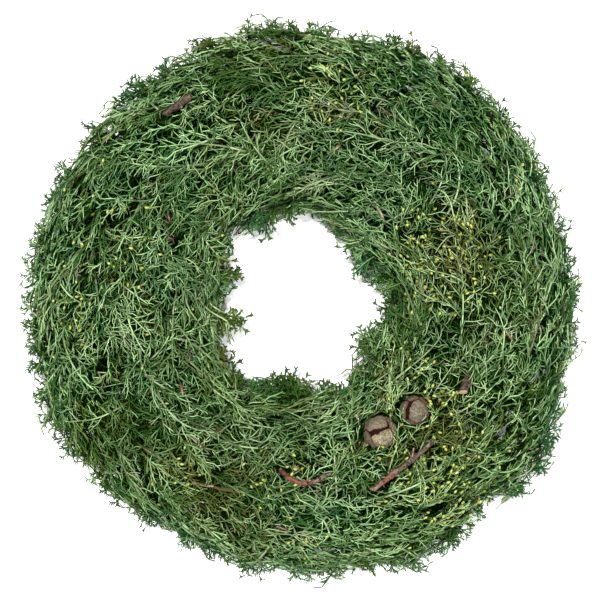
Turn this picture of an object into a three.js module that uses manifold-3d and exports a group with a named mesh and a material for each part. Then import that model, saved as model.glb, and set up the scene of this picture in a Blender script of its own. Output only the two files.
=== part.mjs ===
// A fresh evergreen wreath lying on its back. Ten bunches of cypress sprays are bound with wire
// round a straw ring, each bunch over the stems of the one before it, like shingles. Two woody
// cones and a few bare twigs lie in the foliage.
// Millimetres, +Z up. The origin is at the wreath's middle, on the surface that it lies on.

import * as THREE from "three";
import { mergeVertices } from "three/addons/utils/BufferGeometryUtils.js";
import Module from "manifold-3d";

const wasm = await Module();
wasm.setup();

// The straw ring: a round section, cut flat where it rests.
const ringRadius = 131;
const strawRadius = 24;
const strawHeight = 22;
const ringSteps = 36;
const sectionSteps = 8;

// The binding wire: one turn round the ring for each bunch.
const bunches = 10;
const wireRadius = 0.8;
const wireOverStems = 32.6;
const wireOnStraw = 26;
const grooveWidth = 2.4;
const grooveDepth = 2.2;
const wireTurnWidth = 13;

// The foliage, from the stems on the straw out to its reach, measured from the middle of the
// straw's section.
const stemLevel = 24.6;
const crownReach = 71;
const rimReach = 84;
const holeReach = 74;
const floorGap = 1;
const sideDroop = THREE.MathUtils.degToRad(34);
// How many laterals a lane's sprays have, and how far up their tips may stray: 1 is the outline.
const lanes = [
  { name: "rim", laterals: 4, stray: 1.1 },
  { name: "outer", laterals: 3, stray: 1.12 },
  { name: "crown", laterals: 3, stray: 1.16 },
  { name: "inner", laterals: 2, stray: 1.12 },
  { name: "hole", laterals: 2, stray: 1 },
];
const laneWave = THREE.MathUtils.degToRad(4);
const sprayOverlap = 0.6;
const helixShift = 0.125;

// A spray: a slim bound core, laterals from its sides, and branchlets in whorls on each.
const coreSides = 4;
const lateralRadius = 1.25;
const whorlLength = 7.6;
const branchletLength = [10, 15];
const bareRoot = 0.38;
const branchletTrims = [1, 0.8, 0.62, 0.45];
const budRadius = 1;

// Where the outline bulges (+) or draws in (-), in millimetres, round the rim and the hole.
const rimBulges = [
  { at: 328, width: 16, by: 9 },
  { at: 302, width: 9, by: 5 },
  { at: 242, width: 14, by: -8 },
  { at: 60, width: 10, by: 5 },
  { at: 105, width: 12, by: 3 },
];
const holeBulges = [
  { at: 38, width: 16, by: 5 },
  { at: 158, width: 14, by: 3 },
  { at: 330, width: 14, by: 4 },
  { at: 135, width: 9, by: -5 },
  { at: 215, width: 14, by: -6 },
  { at: 292, width: 14, by: -5 },
];

// Where the branchlets end in pollen cones: the middle of each patch and its radius.
const pollenPatches = [
  { at: [25, 165], radius: 34 },
  { at: [100, 30], radius: 42 },
  { at: [95, -120], radius: 48 },
  { at: [-150, 15], radius: 34 },
  { at: [-20, -135], radius: 30 },
];

// The woody cones, and how far a pocket in the foliage stands off what lies in it.
const cones = [
  { name: "cone_large", at: [58, -97, 82], radius: 12.4, stalk: [0.45, 0.5, -0.74] },
  { name: "cone_small", at: [84, -81, 80.5], radius: 11, stalk: [-0.3, 0.6, -0.74] },
];
const plateSeam = 0.11;
const stalkRadius = 1.5;
const stalkLength = 9;
const pocketGap = 1.2;

// The bare twigs: their course, and their radius at either end.
const twigs = [
  {
    name: "twig_straight",
    course: [[52, -139, 91.5], [66, -128, 93.3], [82, -116, 92.5], [98, -103, 86]],
    radii: [2.1, 1.7],
    color: "#6b5748",
  },
  {
    name: "twig_curved",
    course: [[-16, -125, 84], [-9.5, -130, 91], [-1, -133.6, 93.6], [9, -132.6, 93.4], [22, -126.5, 85]],
    radii: [1.7, 1.5],
    color: "#74392b",
  },
  {
    name: "branch_stub",
    course: [[119, -66.5, 93], [121.5, -61.5, 88], [124, -55, 79]],
    radii: [3.1, 3.3],
    color: "#8a745f",
  },
  {
    name: "twig_bark",
    course: [[-102, 140, 77], [-92, 146.5, 84], [-83, 152.5, 83.5]],
    radii: [2.2, 2.7],
    color: "#4e4136",
  },
];
const twigSides = 6;

const { degToRad, lerp, clamp } = THREE.MathUtils;
const turn = 2 * Math.PI;
const pitch = turn / bunches;

// A repeatable draw between two values for a set of keys.
function draw(low, high, ...keys) {
  const mixed = keys.reduce((sum, key, i) => sum + key * (12.9898 + 65.243 * i), 5.3);
  const wave = Math.sin(mixed) * 43758.5453;
  return lerp(low, high, wave - Math.floor(wave));
}

function material(color, roughness) {
  return new THREE.MeshStandardMaterial({ color, roughness, metalness: 0 });
}

// ---- Solids ----

function toSolid(geometry) {
  const bare = geometry.clone();
  bare.deleteAttribute("normal");
  bare.deleteAttribute("uv");
  const merged = mergeVertices(bare, 1e-4);
  const vertProperties = new Float32Array(merged.attributes.position.array);
  const triVerts = new Uint32Array(merged.index.array);
  return new wasm.Manifold(new wasm.Mesh({ numProp: 3, vertProperties, triVerts }));
}

function toGeometry(solid) {
  const mesh = solid.getMesh();
  const geometry = new THREE.BufferGeometry();
  geometry.setAttribute("position", new THREE.BufferAttribute(mesh.vertProperties, 3));
  geometry.setIndex(new THREE.BufferAttribute(mesh.triVerts, 1));
  geometry.computeVertexNormals();
  return geometry;
}

// The largest body of a solid, without loose scraps and with any sealed hollow filled.
function mainBody(solid) {
  const bodies = solid.decompose();
  return bodies.reduce((best, body) => (body.volume() > best.volume() ? body : best));
}

// ---- Places round the ring ----

// angle: round the wreath. section: round the ring's section, from outward up and over to the
// hole. reach: out from the middle of the section.
function place({ angle, section, reach }) {
  const radius = ringRadius + reach * Math.cos(section);
  const height = strawHeight + reach * Math.sin(section);
  return new THREE.Vector3(radius * Math.cos(angle), radius * Math.sin(angle), height);
}

function bulge(angle, bulges) {
  const degrees = THREE.MathUtils.radToDeg(angle);
  return bulges.reduce((sum, { at, width, by }) => {
    const away = THREE.MathUtils.euclideanModulo(degrees - at + 180, 360) - 180;
    return sum + by * Math.exp(-((away / width) ** 2));
  }, 0);
}

function envelope(angle, section) {
  const outward = Math.max(0, Math.cos(section));
  const inward = Math.max(0, -Math.cos(section));
  const rim = rimReach - crownReach + bulge(angle, rimBulges);
  const hole = holeReach - crownReach + bulge(angle, holeBulges);
  return crownReach + outward * rim + inward * hole;
}

// The side lanes droop round the ring until the floor stops them.
function floorAngle(angle, side, height) {
  const reach = lerp(stemLevel, envelope(angle, side), height);
  return Math.min(sideDroop, Math.asin((strawHeight - floorGap) / reach));
}

function laneEdge(edge, angle, height) {
  if (edge === 0) return -floorAngle(angle, 0, height);
  if (edge === lanes.length) return Math.PI + floorAngle(angle, Math.PI, height);
  const even = degToRad(25 + 43.3 * (edge - 1));
  return even + laneWave * Math.sin(3 * angle + 2 * edge);
}

// A place in a lane: across from -1 to 1, height from 0 on the straw to 1 at the envelope.
function inLane(lane, angle, across, height) {
  const from = laneEdge(lane, angle, height);
  const to = laneEdge(lane + 1, angle, height);
  const section = lerp(from, to, (across + 1) / 2);
  const reach = lerp(stemLevel, envelope(angle, section), height);
  return { angle, section, reach };
}

// The lane coordinates of a point, the other way round.
function laneOf(lane, point, near) {
  const out = Math.hypot(point.x, point.y) - ringRadius;
  const up = point.z - strawHeight;
  const reach = Math.hypot(out, up);
  let angle = Math.atan2(point.y, point.x);
  angle += turn * Math.round((near - angle) / turn);
  let section = Math.atan2(up, out);
  if (section < -Math.PI / 2) section += turn;
  const height = (reach - stemLevel) / (envelope(angle, section) - stemLevel);
  const from = laneEdge(lane, angle, height);
  const to = laneEdge(lane + 1, angle, height);
  return { angle, across: (2 * (section - from)) / (to - from) - 1, height };
}

// ---- One spray ----

const sprayStart = (bunch, lane) => pitch * (bunch + helixShift * lane);

// How low and how high a spray may lie, by how far along it is in pitches: under the bunch
// before it at first, over the next bunch's stems at its end.
function layerTop(along, highest = 1) {
  if (along < 0.14) return 0.16;
  if (along < sprayOverlap) return lerp(0.16, 0.5, (along - 0.14) / (sprayOverlap - 0.14));
  return lerp(0.5, highest, clamp((along - sprayOverlap) / 0.08, 0, 1));
}

function layerFloor(along) {
  return along < 0.98 ? 0.005 : layerTop(along - 1 + 0.02) + 0.05;
}

// Whether a point lies in its spray's own layer, lane and length.
function isInside(spray, point) {
  const start = sprayStart(spray.bunch, spray.lane);
  const at = laneOf(spray.lane, point, start + pitch * 0.8);
  const along = (at.angle - start) / pitch;
  const inLength = along > 0 && along < spray.length + 0.1;
  const top = layerTop(along, lanes[spray.lane].stray);
  const inLayer = at.height > layerFloor(along) && at.height < top;
  return inLength && inLayer && Math.abs(at.across) < 0.96;
}

function sprayPoint(spray, along, across, height) {
  const angle = sprayStart(spray.bunch, spray.lane) + pitch * along;
  return place(inLane(spray.lane, angle, across, height));
}

// Directions at a point: ahead along the stem, out from the ring's section, and aside.
function frameAt(point, ahead) {
  const angle = Math.atan2(point.y, point.x);
  const middle = place({ angle, section: 0, reach: 0 });
  const out = point.clone().sub(middle);
  out.addScaledVector(ahead, -out.dot(ahead)).normalize();
  const aside = new THREE.Vector3().crossVectors(out, ahead);
  return { ahead, out, aside };
}

function pathFrames(points) {
  return points.map((point, i) => {
    const before = points[Math.max(i - 1, 0)];
    const after = points[Math.min(i + 1, points.length - 1)];
    return frameAt(point, after.clone().sub(before).normalize());
  });
}

// The growing list of a stem's corners and triangles.
function newSkin() {
  const corners = [];
  const triangles = [];
  const addCorner = (point) => corners.push(point.x, point.y, point.z) / 3 - 1;
  const corner = (i) => new THREE.Vector3().fromArray(corners, 3 * i);
  return { corners, triangles, addCorner, corner };
}

function skinSolid({ corners, triangles }) {
  const geometry = new THREE.BufferGeometry();
  geometry.setAttribute("position", new THREE.Float32BufferAttribute(corners, 3));
  geometry.setIndex(triangles);
  return toSolid(geometry);
}

// A ring of corners round a stem. The first corner of a three-sided stem is on top.
function addRing(skin, point, frame, wide, high, sides) {
  return Array.from({ length: sides }, (_, i) => {
    const round = Math.PI / 2 + (turn * i) / sides;
    const corner = point.clone();
    corner.addScaledVector(frame.aside, wide * Math.cos(round));
    corner.addScaledVector(frame.out, high * Math.sin(round));
    return skin.addCorner(corner);
  });
}

function joinRings(skin, from, to) {
  return from.map((_, i) => {
    const j = (i + 1) % from.length;
    const rear = [from[i], from[j], to[i]];
    const front = [from[j], to[j], to[i]];
    return { rear, front };
  });
}

function closeEnd(skin, ring, flip) {
  for (let i = 1; i < ring.length - 1; i += 1) {
    const triangle = [ring[0], ring[i], ring[i + 1]];
    skin.triangles.push(...(flip ? triangle.reverse() : triangle));
  }
}

// A closed tube through its rings.
function tubeSolid(skin, rings) {
  rings.slice(1).forEach((ring, i) => {
    joinRings(skin, rings[i], ring).forEach(({ rear, front }) => {
      skin.triangles.push(...rear, ...front);
    });
  });
  closeEnd(skin, rings[0], true);
  closeEnd(skin, rings.at(-1), false);
  return skinSolid(skin);
}

// The core, flat in section: bound stems at the root, then the bunch's inner foliage.
const coreShape = [
  { along: 0, wide: 4.6, high: 1.7, height: 0.05 },
  { along: 0.13, wide: 4.6, high: 1.7, height: 0.052 },
  { along: 0.36, wide: 8, high: 3.2, height: 0.2 },
  { along: 0.8, wide: 10, high: 3.8, height: 0.47 },
  { along: 1.2, wide: 6, high: 2.6, height: 0.68 },
];

const coreHeight = (along) => {
  const next = Math.max(1, coreShape.findIndex((shape) => shape.along >= along));
  const [from, to] = [coreShape[next - 1], coreShape[next]];
  return lerp(from.height, to.height, (along - from.along) / (to.along - from.along));
};

const coreAcross = (spray, along) => 0.22 * Math.sin(4 * along + spray.bunch) * clamp(along - 0.2, 0, 1);

function coreSolid(spray) {
  const skin = newSkin();
  const points = coreShape.map(({ along, height }) => {
    return sprayPoint(spray, along, coreAcross(spray, along), height);
  });
  const frames = pathFrames(points);
  const rings = coreShape.map(({ wide, high }, i) => {
    return addRing(skin, points[i], frames[i], wide, high, coreSides);
  });
  return tubeSolid(skin, rings);
}

// The course of a lateral, from inside the core out to the envelope.
function lateralCourse(spray, lateral) {
  const { from, side, leader } = lateral;
  const key = [spray.bunch, spray.lane, lateral.index];
  const start = { along: from, across: coreAcross(spray, from), height: coreHeight(from) };
  const reachAlong = leader ? spray.length - from : draw(0.34, 0.46, ...key, 1);
  const end = {
    along: Math.min(from + reachAlong, spray.length),
    across: leader ? 0.3 * side : side * draw(0.5, 0.8, ...key, 2),
    height: draw(0.82, 0.92, ...key, 3),
  };
  const bend = leader ? 0.5 : 0.62;
  return (t) => {
    const along = lerp(start.along, end.along, t);
    const across = lerp(start.across, end.across, t ** 0.8);
    const rise = lerp(start.height, end.height, t ** bend);
    const height = clamp(rise, layerFloor(along) + 0.05, layerTop(along) - 0.04);
    return sprayPoint(spray, along, across, height);
  };
}

// A branchlet raised from one triangle of a whorl, as long as its layer allows. The upper one of
// each pair rises and the lower one spreads, so they don't cross.
function addBranchlet(skin, spray, triangle, frame, { side, upper }, key) {
  const middle = new THREE.Vector3();
  triangle.forEach((i) => middle.add(skin.corner(i)));
  middle.divideScalar(3);
  const fork = degToRad(draw(40, 50, ...key, 4));
  const lift = degToRad(upper ? draw(50, 62, ...key, 5) : draw(2, 14, ...key, 5));
  const heading = frame.ahead.clone().multiplyScalar(Math.cos(fork));
  heading.addScaledVector(frame.aside, side * Math.sin(fork) * Math.cos(lift));
  heading.addScaledVector(frame.out, Math.sin(fork) * Math.sin(lift));
  const full = draw(...branchletLength, ...key, 6);
  const lengths = branchletTrims.map((trim) => full * trim);
  const tipAt = (length) => middle.clone().addScaledVector(heading, length);
  const length = lengths.find((trial) => isInside(spray, tipAt(trial)));
  if (!length) {
    skin.triangles.push(...triangle);
    return;
  }
  const end = tipAt(length);
  const base = isPollen(end) ? addBud(skin, triangle, middle, end, key) : triangle;
  const top = skin.addCorner(end);
  base.forEach((corner, i) => skin.triangles.push(corner, base[(i + 1) % 3], top));
}

const isPollen = (point) => pollenPatches.some(({ at, radius }) => {
  return Math.hypot(point.x - at[0], point.y - at[1]) < radius;
});

// A pollen cone: the branchlet stays full to near its end.
function addBud(skin, triangle, middle, end, key) {
  if (draw(0, 1, ...key, 7) < 0.88) return triangle;
  const neck = middle.clone().lerp(end, 0.78);
  const ring = triangle.map((i) => {
    const offset = skin.corner(i).sub(middle);
    const axis = end.clone().sub(middle).normalize();
    offset.addScaledVector(axis, -offset.dot(axis)).setLength(budRadius);
    return skin.addCorner(neck.clone().add(offset));
  });
  triangle.forEach((corner, i) => {
    const j = (i + 1) % 3;
    skin.triangles.push(corner, triangle[j], ring[j], corner, ring[j], ring[i]);
  });
  return ring;
}

// A lateral with its branchlets, raised from the facets of its own three-sided stem.
function lateralSolid(spray, lateral) {
  const course = lateralCourse(spray, lateral);
  const length = course(0).distanceTo(course(1)) * (1 - bareRoot);
  const whorls = clamp(Math.round(length / whorlLength), 2, 4);
  const stops = [0];
  for (let whorl = 0; whorl <= whorls; whorl += 1) {
    stops.push(lerp(bareRoot, 0.97, whorl / whorls));
  }
  const points = stops.map(course);
  const frames = pathFrames(points);
  const skin = newSkin();
  const rings = points.map((point, i) => {
    const thin = lerp(lateralRadius * 1.2, lateralRadius * 0.8, stops[i]);
    return addRing(skin, point, frames[i], thin, thin, 3);
  });
  closeEnd(skin, rings[0], true);
  rings.slice(1).forEach((ring, i) => {
    const facets = joinRings(skin, rings[i], ring);
    facets.forEach(({ rear, front }, facet) => {
      [rear, front].forEach((triangle, part) => {
        const key = [spray.bunch, spray.lane, lateral.index, i, facet, part];
        const way = { side: facet === 0 ? -1 : 1, upper: (facet === 0) === (part === 0) };
        if (i > 0 && facet !== 1) addBranchlet(skin, spray, triangle, frames[i], way, key);
        else skin.triangles.push(...triangle);
      });
    });
  });
  const last = rings.at(-1);
  const tip = skin.addCorner(course(1));
  last.forEach((corner, i) => skin.triangles.push(corner, last[(i + 1) % 3], tip));
  return skinSolid(skin);
}

function lateralsOf(spray) {
  const count = lanes[spray.lane].laterals;
  const list = Array.from({ length: count }, (_, index) => {
    const from = lerp(0.34, 1.1, (index + draw(0.2, 0.6, spray.bunch, index)) / count);
    const side = (index + spray.bunch) % 2 ? 1 : -1;
    return { index, from, side, leader: false };
  });
  return [...list, { index: count, from: 1.2, side: draw(-1, 1, spray.bunch, 9), leader: true }];
}

function spraySolid(spray) {
  const laterals = lateralsOf(spray).map((lateral) => lateralSolid(spray, lateral));
  return wasm.Manifold.union([coreSolid(spray), ...laterals]);
}

// ---- The ring and its wire ----

function strawRing() {
  const low = Math.asin(-strawHeight / strawRadius);
  const profile = Array.from({ length: sectionSteps + 1 }, (_, i) => {
    const section = lerp(low, Math.PI - low, i / sectionSteps);
    return new THREE.Vector2(
      ringRadius + strawRadius * Math.cos(section),
      Math.max(0, strawHeight + strawRadius * Math.sin(section)),
    );
  });
  profile.push(profile[0].clone());
  const geometry = new THREE.LatheGeometry(profile, ringSteps);
  geometry.rotateX(Math.PI / 2);
  return toSolid(geometry);
}

const underAngle = (bunch) => wireAngle(bunch, lanes.length) + pitch * 0.12;

// A channel across the ring's underside, for one turn of the wire.
function groove(bunch) {
  const box = new THREE.BoxGeometry(3 * wireTurnWidth, grooveWidth, 2 * grooveDepth);
  box.translate(ringRadius, 0, 0);
  box.rotateZ(underAngle(bunch));
  return toSolid(box);
}

const wireAngle = (bunch, lane) => sprayStart(bunch, lane) + pitch * 0.06;

// One turn: over the stems of the five sprays, round the hole side, and back under the ring.
function wireTurn(bunch) {
  const over = lanes.map((_, lane) => {
    const angle = wireAngle(bunch, lane);
    const { section } = inLane(lane, angle, 0, 0);
    return place({ angle, section, reach: wireOverStems });
  });
  const under = underAngle(bunch);
  const side = degToRad(42);
  const inner = place({ angle: under - 0.03, section: Math.PI + side, reach: wireOnStraw });
  const outer = place({ angle: under + 0.03, section: -side, reach: wireOnStraw });
  const flat = [-wireTurnWidth, wireTurnWidth].map((out) => {
    const radius = ringRadius + out;
    return new THREE.Vector3(radius * Math.cos(under), radius * Math.sin(under), grooveDepth / 2);
  });
  return [...over, inner, ...flat, outer];
}

function bindingWire() {
  const points = Array.from({ length: bunches }, (_, bunch) => wireTurn(bunch)).flat();
  points.pop();
  const skin = newSkin();
  const frames = pathFrames(points);
  const rings = points.map((point, i) => addRing(skin, point, frames[i], wireRadius, wireRadius, 3));
  return tubeSolid(skin, rings);
}

// ---- The cones and twigs ----

// A ball of shield plates, one about each corner of an icosahedron, with sunk seams between.
function plateBall(radius) {
  const plates = new THREE.IcosahedronGeometry(1, 0).attributes.position;
  const ball = new THREE.IcosahedronGeometry(1, 3);
  const spots = ball.attributes.position;
  const spot = new THREE.Vector3();
  const plate = new THREE.Vector3();
  for (let i = 0; i < spots.count; i += 1) {
    spot.fromBufferAttribute(spots, i).normalize();
    let nearest = Math.PI;
    for (let j = 0; j < plates.count; j += 1) {
      nearest = Math.min(nearest, spot.angleTo(plate.fromBufferAttribute(plates, j)));
    }
    const seam = THREE.MathUtils.smoothstep(nearest, degToRad(20), degToRad(33));
    spot.multiplyScalar(radius * (1 - plateSeam * seam));
    spots.setXYZ(i, spot.x, spot.y, spot.z);
  }
  return ball;
}

function stalkGeometry({ stalk }, radius, length) {
  const rod = new THREE.CylinderGeometry(radius, radius, length, 5);
  const way = new THREE.Vector3(...stalk).normalize();
  rod.applyQuaternion(new THREE.Quaternion().setFromUnitVectors(new THREE.Vector3(0, 1, 0), way));
  return rod.translate(...way.multiplyScalar(length / 2).toArray());
}

function coneSolid(cone) {
  const ball = toSolid(plateBall(cone.radius));
  const stalk = toSolid(stalkGeometry(cone, stalkRadius, cone.radius + stalkLength));
  return ball.add(stalk).translate(cone.at);
}

function conePocket(cone) {
  const ball = toSolid(new THREE.IcosahedronGeometry(cone.radius + pocketGap, 1));
  const length = cone.radius + stalkLength + pocketGap;
  const stalk = toSolid(stalkGeometry(cone, stalkRadius + pocketGap, length));
  return ball.add(stalk).translate(cone.at);
}

// A tube along a course, from one radius to the other, with gap more all round and at its ends.
function twigSolid({ course, radii }, gap = 0) {
  const points = course.map((point) => new THREE.Vector3(...point));
  const frames = pathFrames(points);
  points[0].addScaledVector(frames[0].ahead, -gap);
  points.at(-1).addScaledVector(frames.at(-1).ahead, gap);
  const skin = newSkin();
  const rings = points.map((point, i) => {
    const radius = lerp(...radii, i / (points.length - 1)) + gap;
    return addRing(skin, point, frames[i], radius, radius, twigSides);
  });
  return tubeSolid(skin, rings);
}

// ---- The wreath ----

const wreath = new THREE.Group();

function addPiece(name, solid, surface) {
  const mesh = new THREE.Mesh(toGeometry(solid), surface);
  mesh.name = name;
  wreath.add(mesh);
}

const grooves = Array.from({ length: bunches }, (_, bunch) => groove(bunch));
const ring = grooves.reduce((solid, cut) => solid.subtract(cut), strawRing());
addPiece("straw_ring", ring, material("#b79a5c", 0.9));
addPiece("binding_wire", bindingWire(), material("#3d4a34", 0.6));

cones.forEach((cone) => addPiece(cone.name, coneSolid(cone), material("#8b8069", 0.8)));
twigs.forEach((twig) => addPiece(twig.name, twigSolid(twig), material(twig.color, 0.8)));
const twigPockets = twigs.map((twig) => twigSolid(twig, pocketGap));
const pockets = wasm.Manifold.union([...cones.map(conePocket), ...twigPockets]);

const greens = ["#44623a", "#506f3c", "#3d5a3c", "#5c7440"];
for (let bunch = 0; bunch < bunches; bunch += 1) {
  lanes.forEach(({ name }, lane) => {
    const spray = { bunch, lane, length: draw(1.44, 1.58, bunch, lane) };
    const green = greens[(2 * bunch + lane) % greens.length];
    const number = String(bunch + 1).padStart(2, "0");
    const solid = mainBody(spraySolid(spray).subtract(pockets));
    addPiece(`spray_${name}_${number}`, solid, material(green, 0.7));
  });
}

export default wreath;
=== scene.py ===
import math
import random

import bpy
import numpy as np
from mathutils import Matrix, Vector


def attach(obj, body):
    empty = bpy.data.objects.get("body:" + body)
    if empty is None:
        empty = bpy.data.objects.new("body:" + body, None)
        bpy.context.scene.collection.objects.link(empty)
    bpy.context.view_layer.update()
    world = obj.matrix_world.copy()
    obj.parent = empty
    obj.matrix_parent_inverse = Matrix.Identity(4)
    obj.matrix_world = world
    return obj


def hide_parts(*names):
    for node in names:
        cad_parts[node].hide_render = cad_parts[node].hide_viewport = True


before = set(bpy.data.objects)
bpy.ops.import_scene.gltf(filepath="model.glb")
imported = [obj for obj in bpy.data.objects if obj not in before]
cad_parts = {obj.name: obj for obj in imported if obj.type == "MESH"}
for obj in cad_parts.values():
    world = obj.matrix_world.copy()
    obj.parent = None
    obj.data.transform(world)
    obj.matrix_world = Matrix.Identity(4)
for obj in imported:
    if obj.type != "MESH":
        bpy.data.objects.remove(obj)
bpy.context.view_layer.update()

print("frame loaded:", len(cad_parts), "nodes")

mm = 0.001
turn = 2 * math.pi


def mix(a, b, t):
    return a + (b - a) * t


def clamp(value, low=0.0, high=1.0):
    return max(low, min(high, value))


def deselectAll():
    if bpy.context.object and bpy.context.object.mode != "OBJECT":
        bpy.ops.object.mode_set(mode="OBJECT")
    bpy.ops.object.select_all(action="DESELECT")


def selectOnly(piece):
    deselectAll()
    piece.select_set(True)
    bpy.context.view_layer.objects.active = piece


def applyModifier(piece, kind, **settings):
    selectOnly(piece)
    modifier = piece.modifiers.new(kind.title(), kind)
    for key, value in settings.items():
        setattr(modifier, key, value)
    bpy.ops.object.modifier_apply(modifier=modifier.name)


# A straight shaft along Z, one unit long, extruded ring by ring. A last ring of no width is a point.
def modelShaft(name, sides, rings):
    deselectAll()
    bpy.ops.mesh.primitive_circle_add(vertices=sides, radius=1, fill_type="NGON")
    shaft = bpy.context.object
    shaft.name = name
    bpy.ops.object.mode_set(mode="EDIT")
    bpy.ops.mesh.select_all(action="SELECT")
    bpy.ops.transform.resize(value=(rings[0][1], rings[0][2], 1), center_override=(0, 0, 0))
    for below, ring in zip(rings, rings[1:]):
        rise = ring[0] - below[0]
        bpy.ops.mesh.extrude_region_move(TRANSFORM_OT_translate={"value": (0, 0, rise)})
        if ring[1] == 0:
            bpy.ops.mesh.merge(type="CENTER")
            break
        scale = (ring[1] / below[1], ring[2] / below[2], 1)
        bpy.ops.transform.resize(value=scale, center_override=(0, 0, ring[0]))
    bpy.ops.mesh.select_all(action="SELECT")
    bpy.ops.mesh.normals_make_consistent(inside=False)
    bpy.ops.object.mode_set(mode="OBJECT")
    return shaft


# What a copy needs of a shaft: its corners, its faces, and where each face corner lies in its own
# strip of the texture (round, along).
def readShaft(shaft):
    mesh = shaft.data
    corners = np.array([v.co[:] for v in mesh.vertices])
    starts, spans, ids, strip = [], [], [], []
    for face in mesh.polygons:
        starts.append(len(ids))
        spans.append(len(face.vertices))
        middle = corners[list(face.vertices)].mean(axis=0)
        isEnd = abs(face.normal.z) > 0.95
        facing = math.atan2(middle[1], middle[0]) / turn
        for i in face.vertices:
            x, y, z = corners[i]
            ids.append(i)
            if isEnd:
                strip.append((0.5 + 0.4 * x, 0.05 + 0.05 * y))
                continue
            at = math.atan2(y, x) / turn if math.hypot(x, y) > 1e-6 else facing
            at += round(facing - at)
            strip.append((clamp(at + 0.5), 0.12 + 0.88 * z))
    data = {"corners": corners, "starts": np.array(starts), "spans": np.array(spans),
            "ids": np.array(ids), "strip": np.array(strip)}
    bpy.data.objects.remove(shaft)
    return data


# How much each of a course's four points counts at t of its length.
def courseWeights(t):
    return np.stack([(1 - 3 * t) * (2 - 3 * t) * (1 - t) / 2, 4.5 * t * (2 - 3 * t) * (1 - t),
                     4.5 * t * (3 * t - 1) * (1 - t), t * (3 * t - 1) * (3 * t - 2) / 2], axis=1)


# Bent copies of one shaft. paths: four points from each copy's root to its tip. radii: at root and tip.
def bendCopies(shaft, paths, radii, ups):
    corners = shaft["corners"]
    t = corners[:, 2]
    weight = courseWeights(t)
    slope = courseWeights(t + 0.01) - courseWeights(t - 0.01)
    spots = np.einsum("mk,nkc->nmc", weight, paths)
    ahead = np.einsum("mk,nkc->nmc", slope, paths)
    ahead /= np.linalg.norm(ahead, axis=2, keepdims=True) + 1e-12
    aside = np.cross(ups[:, None, :], ahead)
    aside /= np.linalg.norm(aside, axis=2, keepdims=True) + 1e-12
    over = np.cross(ahead, aside)
    thick = radii[:, :1] * (1 - t) + radii[:, 1:] * t
    spots += aside * (corners[:, 0] * thick)[:, :, None]
    spots += over * (corners[:, 1] * thick)[:, :, None]
    return spots


# One mesh from groups of bent copies, with their tints and a texture strip for each copy.
def meshFromCopies(name, groups):
    total = sum(len(group["paths"]) for group in groups)
    cells = max(1, math.ceil(math.sqrt(total)))
    points, ids, starts, spans, uvs, tints, lengths = [], [], [], [], [], [], []
    pointCount, loopCount, cell = 0, 0, 0
    for group in groups:
        shaft, paths = group["shaft"], group["paths"]
        count = len(paths)
        if not count:
            continue
        size = len(shaft["corners"])
        t = shaft["corners"][:, 2]
        points.append(bendCopies(shaft, paths, group["radii"], group["ups"]).reshape(-1, 3))
        shift = pointCount + size * np.arange(count)
        ids.append((shaft["ids"][None, :] + shift[:, None]).ravel())
        loops = len(shaft["ids"])
        starts.append((shaft["starts"][None, :] + loopCount + loops * np.arange(count)[:, None]).ravel())
        spans.append(np.tile(shaft["spans"], count))
        spot = cell + np.arange(count)
        corner = np.stack([spot % cells, spot // cells], axis=1)
        uv = (corner[:, None, :] + 0.08 + 0.84 * shaft["strip"][None, :, :]) / cells
        uvs.append(uv.reshape(-1, 2))
        tint = np.repeat(group["tints"][:, 0, None, :], size, axis=1)
        tint = tint + (group["tints"][:, 1, None, :] - tint) * t[None, :, None]
        tints.append(tint.reshape(-1, 4))
        chord = np.linalg.norm(np.diff(paths, axis=1), axis=2).sum(axis=1)
        lengths.append((chord[:, None] * t[None, :]).ravel() / mm)
        pointCount += size * count
        loopCount += loops * count
        cell += count
    mesh = bpy.data.meshes.new(name)
    mesh.vertices.add(pointCount)
    mesh.vertices.foreach_set("co", np.concatenate(points).astype(np.float32).ravel())
    mesh.loops.add(loopCount)
    mesh.loops.foreach_set("vertex_index", np.concatenate(ids).astype(np.int32))
    starts = np.concatenate(starts).astype(np.int32)
    mesh.polygons.add(len(starts))
    mesh.polygons.foreach_set("loop_start", starts)
    mesh.polygons.foreach_set("loop_total", np.concatenate(spans).astype(np.int32))
    mesh.polygons.foreach_set("use_smooth", np.ones(len(starts), dtype=bool))
    mesh.update(calc_edges=True)
    layer = mesh.uv_layers.new(name="OFBake")
    layer.data.foreach_set("uv", np.concatenate(uvs).astype(np.float32).ravel())
    tint = mesh.attributes.new("tint", "FLOAT_COLOR", "POINT")
    tint.data.foreach_set("color", np.concatenate(tints).astype(np.float32).ravel())
    along = mesh.attributes.new("along", "FLOAT", "POINT")
    along.data.foreach_set("value", np.concatenate(lengths).astype(np.float32))
    piece = bpy.data.objects.new(name, mesh)
    bpy.context.scene.collection.objects.link(piece)
    return piece


# The wreath's shape. A spot on it is its angle round the wreath, its section from outward up and
# over to the hole, both in radians, and its reach out from the middle of the straw, in millimetres.

ring = {"radius": 131, "straw": 24, "height": 22}

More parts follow.
